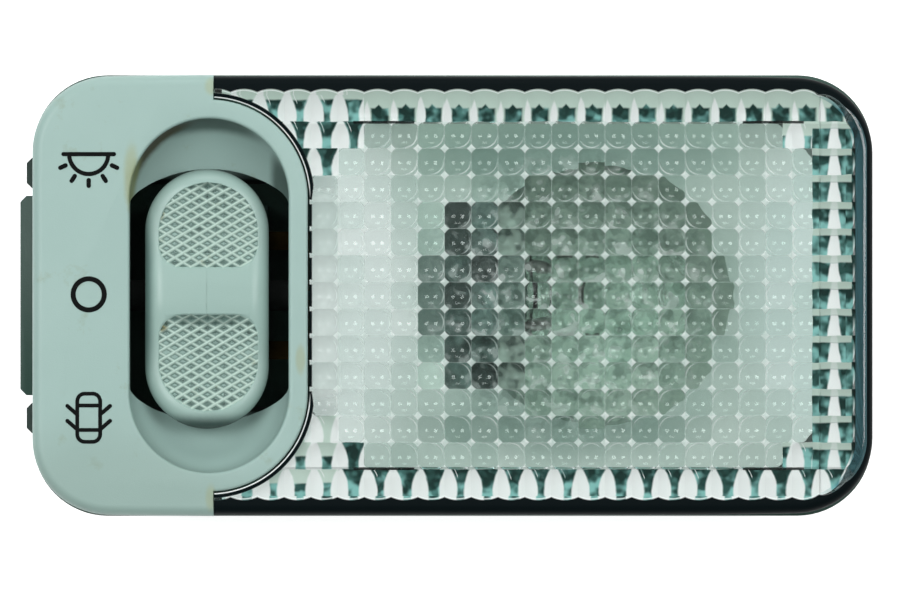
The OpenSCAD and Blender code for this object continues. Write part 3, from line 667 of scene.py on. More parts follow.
# Millimetres from the zero point or from a cell's middle, and shares; a Soft is how far an edge blurs
prismPattern = {
    "starFrom": 2.0, "starSoft": 0.14, "starFrost": 0.85, "joinFrom": 1.69,
    "joinSoft": 0.05, "joinFrost": 0.4, "crescentAt": 1.62, "crescentHalf": 0.15, "crescentFrost": 0.8,
    "centreX": 16.5, "farSoft": 4.0, "facingFrom": 0.35, "facingRate": 1.6,
    # where the cells along the walls begin and end
    "sway": 0.5, "rightFrom": 47.1, "rowFrom": 22.75, "rowEnd": 26.24, "middleX": 15.8, "endFrom": 27.4,
    "leftFrom": -14.9, "borderFrost": 0.88,
    # patches over the lamp, and the veiled gap
    "lampX": 15.5, "lampHalfX": 22.0, "lampHalfY": 20.5, "lampRate": 3.0, "patchRate": -0.05,
    "darkBelow": 0.48, "darkRate": 11.0, "patchDark": 0.5, "lightAbove": 0.56, "lightRate": 9.0,
    "patchLight": 0.3, "gapX": 7.7, "gapY": 8.75,
    # arches and slots
    "topReach": 2.0, "endReach": 0.9, "lowReach": 2.1, "overReach": 1.2, "underReach": 0.9, "archFrom": 1.9,
    "archSoft": 0.25, "peakX": 0.15, "peakHalf": 0.5, "slotX": 0.27, "slotHalf": 0.95, "slotSoft": 0.3,
    # drops and their lines
    "dropX": 0.35, "dropHalf": 1.04, "dropRate": 0.22, "dropRound": 0.1, "dropTopCut": 0.68, "dropSoft": 0.22,
    "luckWide": 0.3, "luckFrom": 0.45, "lineAway": 0.32, "lineHalf": 0.08, "lineSoft": 0.06, "lineFrom": 0.4,
    # bars and pillars
    "pillarX": 49.95, "pillarHalf": 0.72, "pillarRate": 0.16, "pillarFaint": 0.5, "barFrom": 0.75,
    "barX": 52.3, "barSoft": 0.18,
    # wall, edge and foot
    "wallRight": 0.87, "wallRows": 0.98, "wallSag": 0.13, "wallTilt": 0.0046,
    "wallSoft": 0.1, "edgeHalf": 0.12, "edgeWhite": 0.75, "footFrom": 2.3, "footLine": 0.16,
    "footSoft": 0.08, "footRate": 0.45, "footStart": 0.4, "tealRate": 0.06, "tealTop": 0.1,
    # ring
    "curveRate": 0.6, "notchY": 1.5, "dashWidth": 0.62, "dashGrow": 0.3, "ringLine": 0.42, "nearReach": 7.0,
    "nearFrost": 0.7,
    # heights, and the light that gets through
    "faceFrom": 8.3, "wallZ": 5.2, "wallRise": 0.8, "passRise": 1.6, "wallPass": 0.12, "gather": 0.18,
    "gatherShare": 0.62,
}
clearLooks = {
    "lens": {
        # Painted shade for the walls, dark cells and patches; painted light for the white, arch and foot
        # parts
        "tint": "#f6fcfa", "tintLow": "#e2eeea", "passing": "#fbfefd", "wallShade": "#0a1416",
        "archTint": "#dbeae2", "whiteTint": "#fbfffe", "deepShade": "#395d58", "tealTint": "#a9d8d4",
        "footTint": "#93cad4",
        "patchShade": "#43615a", "veilTint": "#bdd2c8", "ior": 1.49, "specular": 0.05, "roughness": 0.025,
        "wallRoughness": 0.5, "pattern": prismPattern},
    "bulb": {"tint": "#fbfdfc", "passing": "#f4f8f6", "ior": 1.5, "roughness": 0.01},
}
lensAcrylic = makeClear("clear_acrylic_lens", clearLooks["lens"])
bulbGlass = makeClear("blown_bulb_glass", clearLooks["bulb"])


# Metals: a noise drawn out along one axis stands for the rolling or pressing marks
def makeMetal(name, look):
    material, tree, output, place = newMaterial(name)
    turned = addNode(tree, "ShaderNodeMapping", None, {"Vector": place, "Scale": look["stretch"]})
    streaks = addNode(tree, "ShaderNodeTexNoise", None, {
        "Vector": turned.outputs["Vector"], "Scale": 1000 / look["markMm"], "Detail": 3.0, "Roughness": 0.6})
    marks = streaks.outputs["Fac"]
    layers = [(marks, look["dull"])]
    if "shadeAt" in look:
        # Painted shade: what lies under the well is blackened
        ball = addBall(tree, place, look["shadeAt"], look["shadeSize"])
        underShade = addNode(tree, "ShaderNodeMapRange", {"clamp": True}, {"Value": ball, "From Max": 0.25})
        layers.append((underShade.outputs["Result"], "#0b0d0c"))
    rough = addNode(tree, "ShaderNodeMapRange", None, {
        "Value": marks, "To Min": look["roughness"] - 0.08, "To Max": look["roughness"] + 0.1})
    bump = addNode(tree, "ShaderNodeBump", None, {"Strength": 0.3, "Distance": 0.00002, "Height": marks})
    colour = hexToLinear(look["colour"])
    for share, tone in layers:
        colour = addNode(tree, "ShaderNodeMix", {"data_type": "RGBA"}, {
            "Factor": share, "A": colour, "B": hexToLinear(tone)}).outputs["Result"]
    shader = addNode(tree, "ShaderNodeBsdfPrincipled", None, {
        "Base Color": colour, "Metallic": look.get("metallic", 1.0), "Roughness": rough.outputs["Result"],
        "Normal": bump.outputs["Normal"]})
    tree.links.new(shader.outputs["BSDF"], output.inputs["Surface"])
    return material


underWell = {"shadeAt": (-31.9, 0, -3), "shadeSize": (20, 26, 12)}
even, rolled, pressed = (1, 1, 1), (0.2, 1, 1), (1, 0.3, 1)  # how the marks are drawn out
metalLooks = {
    "bowl": {
        "colour": "#bfd2c7", "dull": "#9bb2a4", "roughness": 0.5, "metallic": 0.3, "markMm": 1.2,
        "stretch": even},
    "brass": {
        "colour": "#8a7440", "dull": "#5d4c28", "roughness": 0.42, "markMm": 0.5,
        "stretch": rolled, **underWell},
    "spring": {
        "colour": "#aeb3b4", "dull": "#7e8486", "roughness": 0.3, "markMm": 0.4,
        "stretch": rolled, **underWell},
    "black": {"colour": "#5b6b66", "dull": "#3e4b47", "roughness": 0.42, "markMm": 0.6, "stretch": pressed},
    "zinc": {"colour": "#b9bfc0", "dull": "#8e9698", "roughness": 0.36, "markMm": 0.5, "stretch": even},
    "tungsten": {"colour": "#8d8f8c", "dull": "#6b6d6a", "roughness": 0.4, "markMm": 0.2, "stretch": even},
}
bowlAluminium = makeMetal("pressed_aluminium_bowl", metalLooks["bowl"])
stripBrass = makeMetal("rolled_brass_strip", metalLooks["brass"])
springSteel = makeMetal("spring_steel_leaf", metalLooks["spring"])
blackSteel = makeMetal("blackened_steel_clip", metalLooks["black"])
zincSteel = makeMetal("zinc_plated_screw", metalLooks["zinc"])
tungstenWire = makeMetal("tungsten_wire", metalLooks["tungsten"])


# Pad-printed ink: a thin satin film, slightly uneven
def makeInk():
    material, tree, output, place = newMaterial("black_print_ink")
    wear = addNode(tree, "ShaderNodeTexNoise", None, {"Vector": place, "Scale": 900.0, "Detail": 3.0})
    tone = addNode(tree, "ShaderNodeMix", {"data_type": "RGBA"}, {
        "Factor": wear.outputs["Fac"], "A": hexToLinear("#050808"), "B": hexToLinear("#0c1110")})
    shader = addNode(tree, "ShaderNodeBsdfPrincipled", None, {
        "Base Color": tone.outputs["Result"], "Roughness": 0.7, "IOR": 1.5, "Specular IOR Level": 0.12})
    tree.links.new(shader.outputs["BSDF"], output.inputs["Surface"])
    return material


printInk = makeInk()
print("materials made")


# front bezel: face, ring and finger scoops in one moulding
bezelSizes = {
    "ringEdge": 0.35, "splitEdge": 0.15, "rimFlare": 0.45, "scoopDepth": 7.6, "scoopLip": 0.7,
    # height and half width of the opening under the scoops
    "roll": ((-20, 14.5), (-5, 14.6), (-2.5, 14.9), (-1.0, 15.4), (0.1, 16.1), (0.8, 17.0), (1.4, 16.4),
             (2.4, 15.4), (4.0, 14.2), (6.0, 13.0), (8.2, 11.9), (20, 11.9)),
    "ringFoot": -4.6, "trayY": 23.6, "screwX": -47.1, "screwY": 19.0, "bossRadius": 2.7, "pilotRadius": 1.475,
}


def makeBezel():
    s, m = lamp, bezelSizes
    body = makeShell("frontBezel", s["faceY"], 8)
    wall = s["wall"]
    carve(body, loftRings([faceOutline(s["faceX"] - wall, s["faceY"] - wall, s["cornerRadius"] - wall, z)
                           for z in (0.0, s["topZ"] - wall)]))
    # The end towards the lens, with a tiny rounding on its upper edge
    carve(body, endTool(s["splitX"], 80, m["splitEdge"]))
    levels = [(0, s["seatZ"])] + edgeSteps(s["topZ"], m["ringEdge"], 4)
    carve(body, loftRings([wellOutline(s["ringRadius"] - inset, z) for inset, z in levels]), "UNION")
    # Deep wall of the well between the tray's long sides
    deep = loftRings([wellOutline(s["ringRadius"], z) for z in (m["ringFoot"], s["seatZ"] + 1)])
    carve(deep, block(-60, 0, -m["trayY"], m["trayY"], -20, 20), "INTERSECT")
    carve(body, deep, "UNION")
    for side in (-1, 1):
        carve(body, post(m["screwX"], side * m["screwY"], -6, s["topZ"] - 1, m["bossRadius"]), "UNION")
    # Bathtub-shaped scoops: the wall falls from a flared rim into a rounded bowl
    flare, radius = m["rimFlare"], s["wellRadius"]
    tub = [wellOutline(radius + flare + 0.6, s["topZ"] + 1)]
    for i in range(7):
        a = math.pi / 2 * i / 6
        tub.append(wellOutline(radius + flare * (1 - math.sin(a)), s["topZ"] - flare * (1 - math.cos(a))))
    for i in range(1, 24):
        a = math.pi / 2 * i / 24
        depth = m["scoopLip"] + m["scoopDepth"] * math.sin(a)
        tub.append(wellOutline(radius * math.cos(a), s["topZ"] - depth))
    carve(body, loftRings(tub))
    # The scoops' floors roll over into the opening, sooner in the middle than at the walls
    mouth = loftRings([wellOutline(radius, z) for z in (-9, s["topZ"] - 1)])
    roll = [[(-60, -half, z), (0, -half, z), (0, half, z), (-60, half, z)] for z, half in m["roll"]]
    carve(mouth, loftRings(roll), "INTERSECT")
    carve(body, mouth)
    for side in (-1, 1):
        carve(body, post(m["screwX"], side * m["screwY"], -7, 4, m["pilotRadius"]))
    smooth(body, 32)
    return finishPiece(body, "lamp_body", "bezel_plastic", bezelAbs, "front_bezel")


makeBezel()
print("bezel made")


# rocker: rounded slot shape with a saddle between two dished pads
rockerSizes = {
    "x": -32.17, "half": 8.1, "straight": 8.9, "topZ": 8.4, "footZ": 4.8, "edge": 2.5, "capY": -0.45,
    "wall": 1.6, "dip": 1.1, "dishHalf": 8.2, "crestY": 0.2, "liftZ": 5.4, "liftRise": 3.0, "padX": -31.97,
    "padY": 9.03, "padHalf": 6.45, "padCorner": 3.0, "recess": 0.42, "chamfer": 0.2,
    "padEnds": {1: (3.75, 14.75), -1: (2.55, 15.1)},  # inner and outer end of each pad
    "pivotZ": -1.0, "hubRadius": 3.4, "camRadius": 8.6, "notchAt": 8.75, "notchRadius": 0.4,
    "notchDegrees": 8, "pinRadius": 2.0, "pinReach": 12.02,
}


# Height of the rocker's top along Y: a crest in the middle and a dish under each fingertip
def saddle(y):
    m = rockerSizes
    t = min(1.0, abs(abs(y - m["crestY"]) - m["padY"]) / m["dishHalf"])
    return m["dip"] * (1 - t * t) ** 2


def makeRocker():
    m = rockerSizes
    insets = [(0.25, m["footZ"]), (0.0, m["footZ"] + 0.5)] + edgeSteps(m["topZ"], m["edge"], 10)[1:]
    inner = m["edge"]
    while inner < m["half"] - 0.6:
        inner += 0.55
        insets.append((min(inner, m["half"] - 0.05), m["topZ"]))
    insets.append((m["half"] - 0.03, m["topZ"]))
    rings = []
    for inset, z in insets:
        ring = slotOutline(m["x"], m["half"] - inset, m["straight"], z, 32, 28, m["capY"])
        lift = max(0.0, min(1.0, (z - m["liftZ"]) / m["liftRise"]))
        rings.append([(x, y, z - saddle(y) * lift) for x, y, z in ring])
    body = loftRings(rings, "rocker")
    for side in (1, -1):
        carve(body, padTool(side))
    carve(body, loftRings([slotOutline(m["x"], m["half"] - m["wall"], m["straight"], z, shiftY=m["capY"])
                           for z in (m["footZ"] - 1, m["footZ"] + 0.9)]))
    # Hub, stem and pins under the cap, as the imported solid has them
    carve(body, rockerStem(), "UNION")
    smooth(body, 35)
    return finishPiece(body, "switch_rocker", "rocker_plastic", rockerAbs, "rocker")


# Outline of a finger pad: a half circle outside and soft corners inside
def padOutline(side, grow=0.0):
    m = rockerSizes
    half, corner = m["padHalf"] + grow, m["padCorner"]
    inner, outer = m["padEnds"][side]
    points = arc(0, outer - m["padHalf"], half, 0, 180)
    for x, start in ((-half + corner, 180), (half - corner, 270)):
        points += arc(x, inner - grow + corner, corner, start, 90, 8)
    if side < 0:
        points = [(-x, -y) for x, y in points]
    return [(m["padX"] + x, y) for x, y in points]


# Cuts a pad's recess, with a small chamfer round its edge
def padTool(side):
    m = rockerSizes
    outline, wide = padOutline(side), padOutline(side, m["chamfer"])
    centreY = side * sum(m["padEnds"][side]) / 2
    rings = [[(x, y, m["topZ"] + 2) for x, y in wide],
             [(x, y, m["topZ"] + 0.01 - saddle(y)) for x, y in wide],
             [(x, y, m["topZ"] - m["chamfer"] - saddle(y)) for x, y in outline]]
    for k in range(24):
        t = 1 - k / 24
        ring = []
        for x, y in outline:
            px, py = m["padX"] + (x - m["padX"]) * t, centreY + (y - centreY) * t
            ring.append((px, py, m["topZ"] - saddle(py) - m["recess"]))
        rings.append(ring)
    return loftRings(rings)


def rockerStem():
    m = rockerSizes
    x, z, half = m["x"], m["pivotZ"], m["half"]
    stem = block(x - 6, x + 6, -2.2, 2.2, z - 8.5, m["topZ"] - 1.7)
    carve(stem, crossBar(x - half, x + half, 0, z, m["hubRadius"]), "UNION")
    for x0 in (x - half + 0.01, x + half - m["wall"] - 0.01):
        carve(stem, block(x0, x0 + m["wall"], -m["hubRadius"], m["hubRadius"], z, m["footZ"] + 0.6), "UNION")
    cam = crossBar(x - 2.4, x + 2.4, 0, z, m["camRadius"])
    carve(cam, block(x - 3, x + 3, -9.6, 0.5, z - 2, z + 2), "INTERSECT")
    carve(stem, cam, "UNION")
    # A notch for each position
    for turn in (-1, 0, 1):
        a = math.radians(m["notchDegrees"] * turn)
        y, rise = -m["notchAt"] * math.cos(a), m["notchAt"] * math.sin(a)
        carve(stem, crossBar(x - 3, x + 3, y, z + rise, m["notchRadius"], 20))
    carve(stem, block(x - 6.1, x + 6.1, -1.3, 1.3, z - 9.5, z - 8.2))
    reach = m["pinReach"]
    carve(stem, crossBar(lamp["wellX"] - reach, lamp["wellX"] + reach, 0, z, m["pinRadius"]), "UNION")
    return stem


makeRocker()
print("rocker made")


# knurled finger pads: crossed thin ridges on the dished ground, made by Geometry Nodes
knurlSizes = {
    "width": 13.3, "length": 12.9, "spacing": 1.07, "angle": 30.0, "ridge": 0.36, "secondRidge": 0.26,
    "ridgeHalf": 0.3, "ground": 0.42, "overlap": 0.12, "sunk": 0.7, "steps": 170,
}


# A size's name without spaces, as the dictionaries and the formulas have it
def camel(size):
    first, *rest = size.split()
    return first.lower() + "".join(word.capitalize() for word in rest)


# A tree that raises a flat grid to a height given by formulas on x and y. Its sizes are named inputs, which
# the formulas know in camelCase. A crest, where there is one, is kept for the material
def raisedGrid(name, sizes, formulas):
    tree = bpy.data.node_groups.new(name, "GeometryNodeTree")
    counts = ("Size X", "Size Y", "Vertices X", "Vertices Y")
    kinds = {"Vertices X": "Int", "Vertices Y": "Int", "Middle": "Vector", "Material": "Material"}
    for size in counts + ("Middle", "Material") + sizes:
        tree.interface.new_socket(size, in_out="INPUT", socket_type="NodeSocket" + kinds.get(size, "Float"))
    tree.interface.new_socket("Geometry", in_out="OUTPUT", socket_type="NodeSocketGeometry")
    given = addNode(tree, "NodeGroupInput").outputs
    grid = addNode(tree, "GeometryNodeMeshGrid", None, {key: given[key] for key in counts})
    shape = addNode(tree, "GeometryNodeTransform", None, {
        "Geometry": grid.outputs["Mesh"], "Translation": given["Middle"]})
    spot = addNode(tree, "GeometryNodeInputPosition").outputs["Position"]
    place = addNode(tree, "ShaderNodeSeparateXYZ", None, {0: spot}).outputs
    known = {"x": place["X"], "y": place["Y"], **{camel(size): given[size] for size in sizes}}
    addFormulas(tree, known, formulas)
    if "crest" in known:
        shape = addNode(tree, "GeometryNodeStoreNamedAttribute", {"data_type": "FLOAT", "domain": "POINT"}, {
            "Geometry": shape.outputs["Geometry"], "Name": "crest", "Value": known["crest"]})
    point = addNode(tree, "ShaderNodeCombineXYZ", None, {
        "X": place["X"], "Y": place["Y"], "Z": known["height"]})
    lifted = addNode(tree, "GeometryNodeSetPosition", None, {
        "Geometry": shape.outputs["Geometry"], "Position": point.outputs["Vector"]})
    real = addNode(tree, "GeometryNodeRealizeInstances", None, {"Geometry": lifted.outputs["Geometry"]})
    dressed = addNode(tree, "GeometryNodeSetMaterial", None, {
        "Geometry": real.outputs["Geometry"], "Material": given["Material"]})
    addNode(tree, "NodeGroupOutput", None, {"Geometry": dressed.outputs["Geometry"]})
    return tree


# Runs a node tree on an empty mesh and keeps the plain result
def growByNodes(name, tree, inputs):
    piece = newObject(name, [], [])
    modifier = piece.modifiers.new("grow", "NODES")
    modifier.node_group = tree
    for item in tree.interface.items_tree:
        if item.in_out == "INPUT" and item.name in inputs:
            modifier[item.identifier] = inputs[item.name]
    settle(piece)
    return piece


# Cuts a sheet to an outline, if there is one, drops a wall from its edge to a floor at z and closes that
def closeDown(piece, z, outline=None):
    work = bmesh.new()
    work.from_mesh(piece.data)
    if outline:
        outside = [f for f in work.faces if not insideOutline(f.calc_center_median() / mm, outline)]
        bmesh.ops.delete(work, geom=outside, context="FACES")
    walls = bmesh.ops.extrude_edge_only(work, edges=[e for e in work.edges if e.is_boundary])
    for part in walls["geom"]:
        if isinstance(part, bmesh.types.BMVert):
            part.co.z = z * mm
    bmesh.ops.holes_fill(work, edges=[e for e in work.edges if e.is_boundary], sides=0)
    bmesh.ops.recalc_face_normals(work, faces=work.faces)
    work.to_mesh(piece.data)
    work.free()


def makePads():
    k, m = knurlSizes, rockerSizes
    # Two families of ridges over a dished ground
    tree = raisedGrid("knurledPad", (
        "Spacing", "Angle", "Ridge", "Second ridge", "Ridge half", "Top", "Dip", "Dish half", "Pad Y",
        "Crest Y"), (
        "across = angle sin * x",
        "along = angle cos * y",
        "firstSlope = across - along / spacing pingpong 0.5 / ridgeHalf",  # 0 on a ridge
        "secondSlope = across + along / spacing pingpong 0.5 / ridgeHalf",
        "second = 1 - secondSlope max 0 * secondRidge",
        "ridges = 1 - firstSlope max 0 * ridge max second",
        "crest = ridges / ridge",
        "share = y - crestY abs - padY / dishHalf",
        "capped = share * share min 1",
        "fall = 1 - capped",
        "depth = fall * fall * dip",
        "height = top - depth + ridges",
    ))
    for name, side in (("padLampEnd", 1), ("padDoorEnd", -1)):
        middleY = side * sum(m["padEnds"][side]) / 2
        inputs = {
            "Size X": k["width"] * mm, "Size Y": k["length"] * mm, "Vertices X": k["steps"],
            "Vertices Y": k["steps"], "Middle": (m["padX"] * mm, middleY * mm, 0.0), "Material": padAbs,
            "Angle": math.radians(k["angle"]), "Ridge half": k["ridgeHalf"],
            "Top": (m["topZ"] - k["ground"]) * mm}
        for size in ("Spacing", "Ridge", "Second ridge", "Dip", "Dish half", "Pad Y", "Crest Y"):
            inputs[size] = {**m, **k}[camel(size)] * mm
        piece = growByNodes(name, tree, inputs)
        # Its edge runs a little into the cap's wall
        closeDown(piece, m["topZ"] - m["dip"] - m["recess"] - k["sunk"], padOutline(side, k["overlap"]))
        smooth(piece, 60)
        finishPiece(piece, "switch_rocker", "rocker_plastic", padAbs)


def insideOutline(point, outline):
    inside = False
    j = len(outline) - 1
    for i in range(len(outline)):
        (xi, yi), (xj, yj) = outline[i], outline[j]
        if (yi > point.y) != (yj > point.y) and point.x < (xj - xi) * (point.y - yi) / (yj - yi) + xi:
            inside = not inside
        j = i
    return inside


makePads()
print("pads made")


# lens: clear cover, cushion prisms inside, fluted inner side walls
lensSizes = {
    "gap": 0.25, "roomX": 52.7, "roomY": 27.3, "roomCorner": 8.0, "ceiling": 7.15,
    "cushion": 0.668, "cushionRadius": 2.15, "flute": 0.5, "borderX": 47.95, "borderY": 22.75,
    "borderIn": 0.75, "borderRate": 0.85, "borderRise": 1.7, "columns": 25,
    "rows": 17, "steps": 12, "openX": -35.0, "sideEdge": 0.25, "hookX": (-9.0, 42.0), "hookHalf": 4.0,
    "hookY": (22.5, 23.8),
    "hookZ": (-5.0, 6.3), "hookNeck": 0.35, "hookNeckZ": 7.2,
}


# Cushions on a square pitch; the cells along the wall are longer and thin out towards it
def prismTree():
    return raisedGrid("cushionPrisms", (
        "First column", "Pitch", "Cushion", "Cushion radius", "Ceiling", "Border X", "Border Y", "Border in",
        "Border rate", "Border rise"), (
        "half = pitch / 2",
        "cellX = x - firstColumn % pitch - half",
        "cellY = y + half % pitch - half",
        "isBorderX = x > borderX",
        "addX = x - borderX - borderIn * borderRate - cellX * isBorderX",
        "runX = cellX + addX",
        "sideY = y abs",
        "isBorderY = sideY > borderY",
        "addY = sideY - borderY - borderIn * borderRate - cellY * isBorderY",
        "runY = cellY + addY",
        "squareY = runY * runY",
        "limit = cushionRadius * cushionRadius",
        "share = runX * runX + squareY / limit",
        "lowest = isBorderX max isBorderY * borderRise * -1",
        "bulge = 1 - share max lowest * cushion",
        "height = ceiling - bulge",
    ))


# Fluted outline of the lens's hollow: one shallow arc for each column and row
def fluteOutline(z, steps=8):
    m, s = lensSizes, lamp
    half = s["pitch"] / 2

    def dent(offset):
        return m["flute"] * (offset / half) ** 2

    def inward(x, y):
        overX = max(x - (m["roomX"] - m["roomCorner"]), 0.0)
        overY = max(abs(y) - (m["roomY"] - m["roomCorner"]), 0.0)
        cellX = (x - s["firstColumn"]) % s["pitch"] - half
        cellY = (y + half) % s["pitch"] - half
        reach = overX ** 2 + overY ** 2
        return (dent(cellX) * overY ** 2 + dent(cellY) * overX ** 2) / reach if reach > 0 else 0.0

    # Walk round: lower side, corner, right side, corner, upper side, each point with the way in
    radius = m["roomCorner"]
    cornerX, cornerY = m["roomX"] - radius, m["roomY"] - radius

    def turn(y, start):
        return [((px, py), ((cornerX - px) / radius, (y - py) / radius))
                for px, py in arc(cornerX, y, radius, start, 90, 30)[1:-1]]

    step = s["pitch"] / steps
    lower, upper, right = [], [], []
    x = m["openX"]
    while x < cornerX:
        lower.append(((x, -m["roomY"]), (0, 1)))
        x += step
    y = -cornerY
    while y < cornerY:
        right.append(((m["roomX"], y), (-1, 0)))
        y += step
    x = cornerX
    while x > m["openX"]:
        upper.append(((x, m["roomY"]), (0, -1)))
        x -= step
    points = []
    for (x, y), (nx, ny) in lower + turn(-cornerY, -90) + right + turn(cornerY, 0) + upper:
        d = inward(x, y)
        points.append((x + nx * d, y + ny * d, z))
    return points


def makeLens():
    s, m = lamp, lensSizes
    body = makeShell("lens", s["lensY"], 10)
    # Sides towards the bezel's end and the ring
    cutX = s["splitX"] + 0.1
    carve(body, endTool(cutX, -80, m["sideEdge"]))
    radius = s["ringRadius"] + m["gap"]
    carve(body, loftRings([wellOutline(radius + grow, z) for grow, z in toolGrowth(m["sideEdge"])]))
    # The hollow: cushion ceiling over a fluted outline
    length, width = m["columns"] * s["pitch"], m["rows"] * s["pitch"]
    inputs = {
        "Size X": length * mm, "Size Y": width * mm, "Vertices X": m["columns"] * m["steps"] + 1,
        "Vertices Y": m["rows"] * m["steps"] + 1, "Middle": ((s["firstColumn"] + length / 2) * mm, 0.0, 0.0),
        "Border rate": m["borderRate"], "Border rise": m["borderRise"], "Material": lensAcrylic}
    for size in (
        "First column", "Pitch", "Cushion", "Cushion radius", "Ceiling", "Border X", "Border Y", "Border in",
    ):
        inputs[size] = {**s, **m}[camel(size)] * mm
    hollow = growByNodes("hollow", prismTree(), inputs)
    closeDown(hollow, 0.0)
    carve(hollow, loftRings([fluteOutline(z) for z in (0.5, 20)]), "INTERSECT")
    carve(hollow, block(-80, cutX + 1.0, -40, 40, -2, 20))
    carve(body, hollow)
    # Snap hooks
    low, high = m["hookZ"]
    half, (near, far) = m["hookHalf"], m["hookY"]
    for x in m["hookX"]:
        for side in (-1, 1):
            for outer, top in ((far, high), (near + m["hookNeck"], m["hookNeckZ"])):
                y0, y1 = sorted((side * near, side * outer))
                carve(body, block(x - half, x + half, y0, y1, low, top), "UNION")
    smooth(body, 24)
    print("lens triangles", sum(len(p.vertices) - 2 for p in body.data.polygons))
    return finishPiece(body, "lamp_body", "clear_acrylic", lensAcrylic, "lens")


makeLens()
print("lens made")


# printed symbols: strokes with rounded ends, laid on the face
symbolSizes = {
    "x": -47.62, "rise": 0.04, "sink": 0.03,
    # lamp: a flat bar, a round shade under it and five rays
    "lampY": 18.5, "lampLine": 0.56, "barHalf": 3.3, "shadeRadius": 2.55, "rays": (-155, -123, -90, -57, -25),
    "rayFrom": 3.35, "rayTo": 4.1, "rayLine": 0.58,
    # off: a ring
    "offY": 0.15, "offRadius": 2.04, "offLine": 0.66,
    # door: a car from above with open doors
    "doorY": -16.0, "carX": 0.55, "carY": 2.15, "carRound": (0.95, 1.0), "carLine": 0.5, "glassX": 1.4,
    "glassY": 1.6,
    "doorX": (1.6, 2.8), "doorTops": (1.55, -0.4), "doorDrop": 1.05, "doorLine": 0.52,
}


def strokePiece(points, width, closed=False):
    half = width / 2
    if closed:
        outer, inner = [], []
        count = len(points)
        for i in range(count):
            before, here, after = Vector(points[i - 1]), Vector(points[i]), Vector(points[(i + 1) % count])
            first = (here - before).normalized()
            along = (first + (after - here).normalized()).normalized()
            side = Vector((-along.y, along.x))
            reach = half / max(0.5, side.dot(Vector((-first.y, first.x))))
            outer.append(here + side * reach)
            inner.append(here - side * reach)
        return ("ring", outer, inner)
    left, right = [], []
    for i, p in enumerate(points):
        here = Vector(p)
        before = Vector(points[max(0, i - 1)])
        after = Vector(points[min(len(points) - 1, i + 1)])
        along = (after - before).normalized()
        side = Vector((-along.y, along.x))
        left.append(here + side * half)
        right.append(here - side * half)
    # Half circle at each end
    ends = []
    for end, other in ((points[-1], points[-2]), (points[0], points[1])):
        out = math.degrees(math.atan2(*(Vector(end) - Vector(other)).yx))
        ends.append([Vector(p) for p in arc(*end, half, out + 90, -180, 8)[1:-1]])
    return ("band", left + ends[0] + right[::-1] + ends[1], None)


def makeSymbol(name, strokes, node):
    z0, z1 = lamp["topZ"] - symbolSizes["sink"], lamp["topZ"] + symbolSizes["rise"]
    piece = None
    for kind, outer, inner in strokes:
        n = len(outer)
        if kind == "band":
            part = loftRings([[(p.x, p.y, z) for p in outer] for z in (z0, z1)], name)
        else:
            vertices = [(p.x, p.y, z) for z in (z0, z1) for p in outer + inner]
            faces = []
            for i in range(n):
                j = (i + 1) % n
                faces.append((i, n + i, n + j, j))
                faces.append((2 * n + i, 2 * n + j, 3 * n + j, 3 * n + i))
                faces.append((i, j, 2 * n + j, 2 * n + i))
                faces.append((n + i, 3 * n + i, 3 * n + j, n + j))
            part = newObject(name, vertices, faces)
            turnOutward(part)
        piece = carve(piece, part, "UNION") if piece else part
    return finishPiece(piece, "lamp_body", "black_ink", printInk, node)


def makeSymbols():
    m = symbolSizes
    x, y, line = m["x"], m["lampY"], m["lampLine"]
    below = y - 0.05
    strokes = [strokePiece([(x - m["barHalf"], y), (x + m["barHalf"], y)], line),
               strokePiece(arc(x, below, m["shadeRadius"], 180, 180, 24), line)]
    for degrees in m["rays"]:
        a = math.radians(degrees)
        strokes.append(strokePiece([(x + r * math.cos(a), below + r * math.sin(a))
                                    for r in (m["rayFrom"], m["rayTo"])], m["rayLine"]))
    makeSymbol("lampSymbol", strokes, "lamp_symbol")
    circle = arc(x, m["offY"], m["offRadius"], steps=48)[:-1]
    makeSymbol("offSymbol", [strokePiece(circle, m["offLine"], True)], "off_symbol")
    y, line = m["doorY"], m["carLine"]
    car = []
    for sx, sy, start in ((1, 1, 0), (-1, 1, 90), (-1, -1, 180), (1, -1, 270)):
        for px, py in arc(0, 0, 1, start, 90, 6):
            cornerX, cornerY = m["carX"] * sx + m["carRound"][0] * px, m["carY"] * sy + m["carRound"][1] * py
            car.append((x + cornerX, y + cornerY))
    strokes = [strokePiece(car, line, True)]
    for side in (1, -1):
        glassY = y + side * m["glassY"]
        strokes.append(strokePiece([(x - m["glassX"], glassY), (x + m["glassX"], glassY)], line))
    near, far = m["doorX"]
    for side in (-1, 1):
        for top in m["doorTops"]:
            door = [(x + side * far, y + top), (x + side * near, y + top - m["doorDrop"])]
            strokes.append(strokePiece(door, m["doorLine"]))
    makeSymbol("doorSymbol", strokes, "door_symbol")


makeSymbols()
print("symbols made")


# CAD solids that keep their shape: a copy is merged and its edges broken, as a moulding's are
def softenNode(name, piece, body, slotName, material, width):
    work = bmesh.new()
    work.from_mesh(nodes[name].data)
    bmesh.ops.remove_doubles(work, verts=work.verts, dist=1e-6)
    bmesh.ops.dissolve_limit(work, angle_limit=math.radians(1), verts=work.verts, edges=work.edges)
    mesh = bpy.data.meshes.new(piece)
    work.to_mesh(mesh)
    work.free()
    soft = bpy.data.objects.new(piece, mesh)
    bpy.context.scene.collection.objects.link(soft)
    bevel = soft.modifiers.new("edge", "BEVEL")
    bevel.width = width * mm
    bevel.segments = 2
    bevel.limit_method = "ANGLE"
    bevel.angle_limit = math.radians(35)
    settle(soft)
    smooth(soft, 30)
    return finishPiece(soft, body, slotName, material, name)


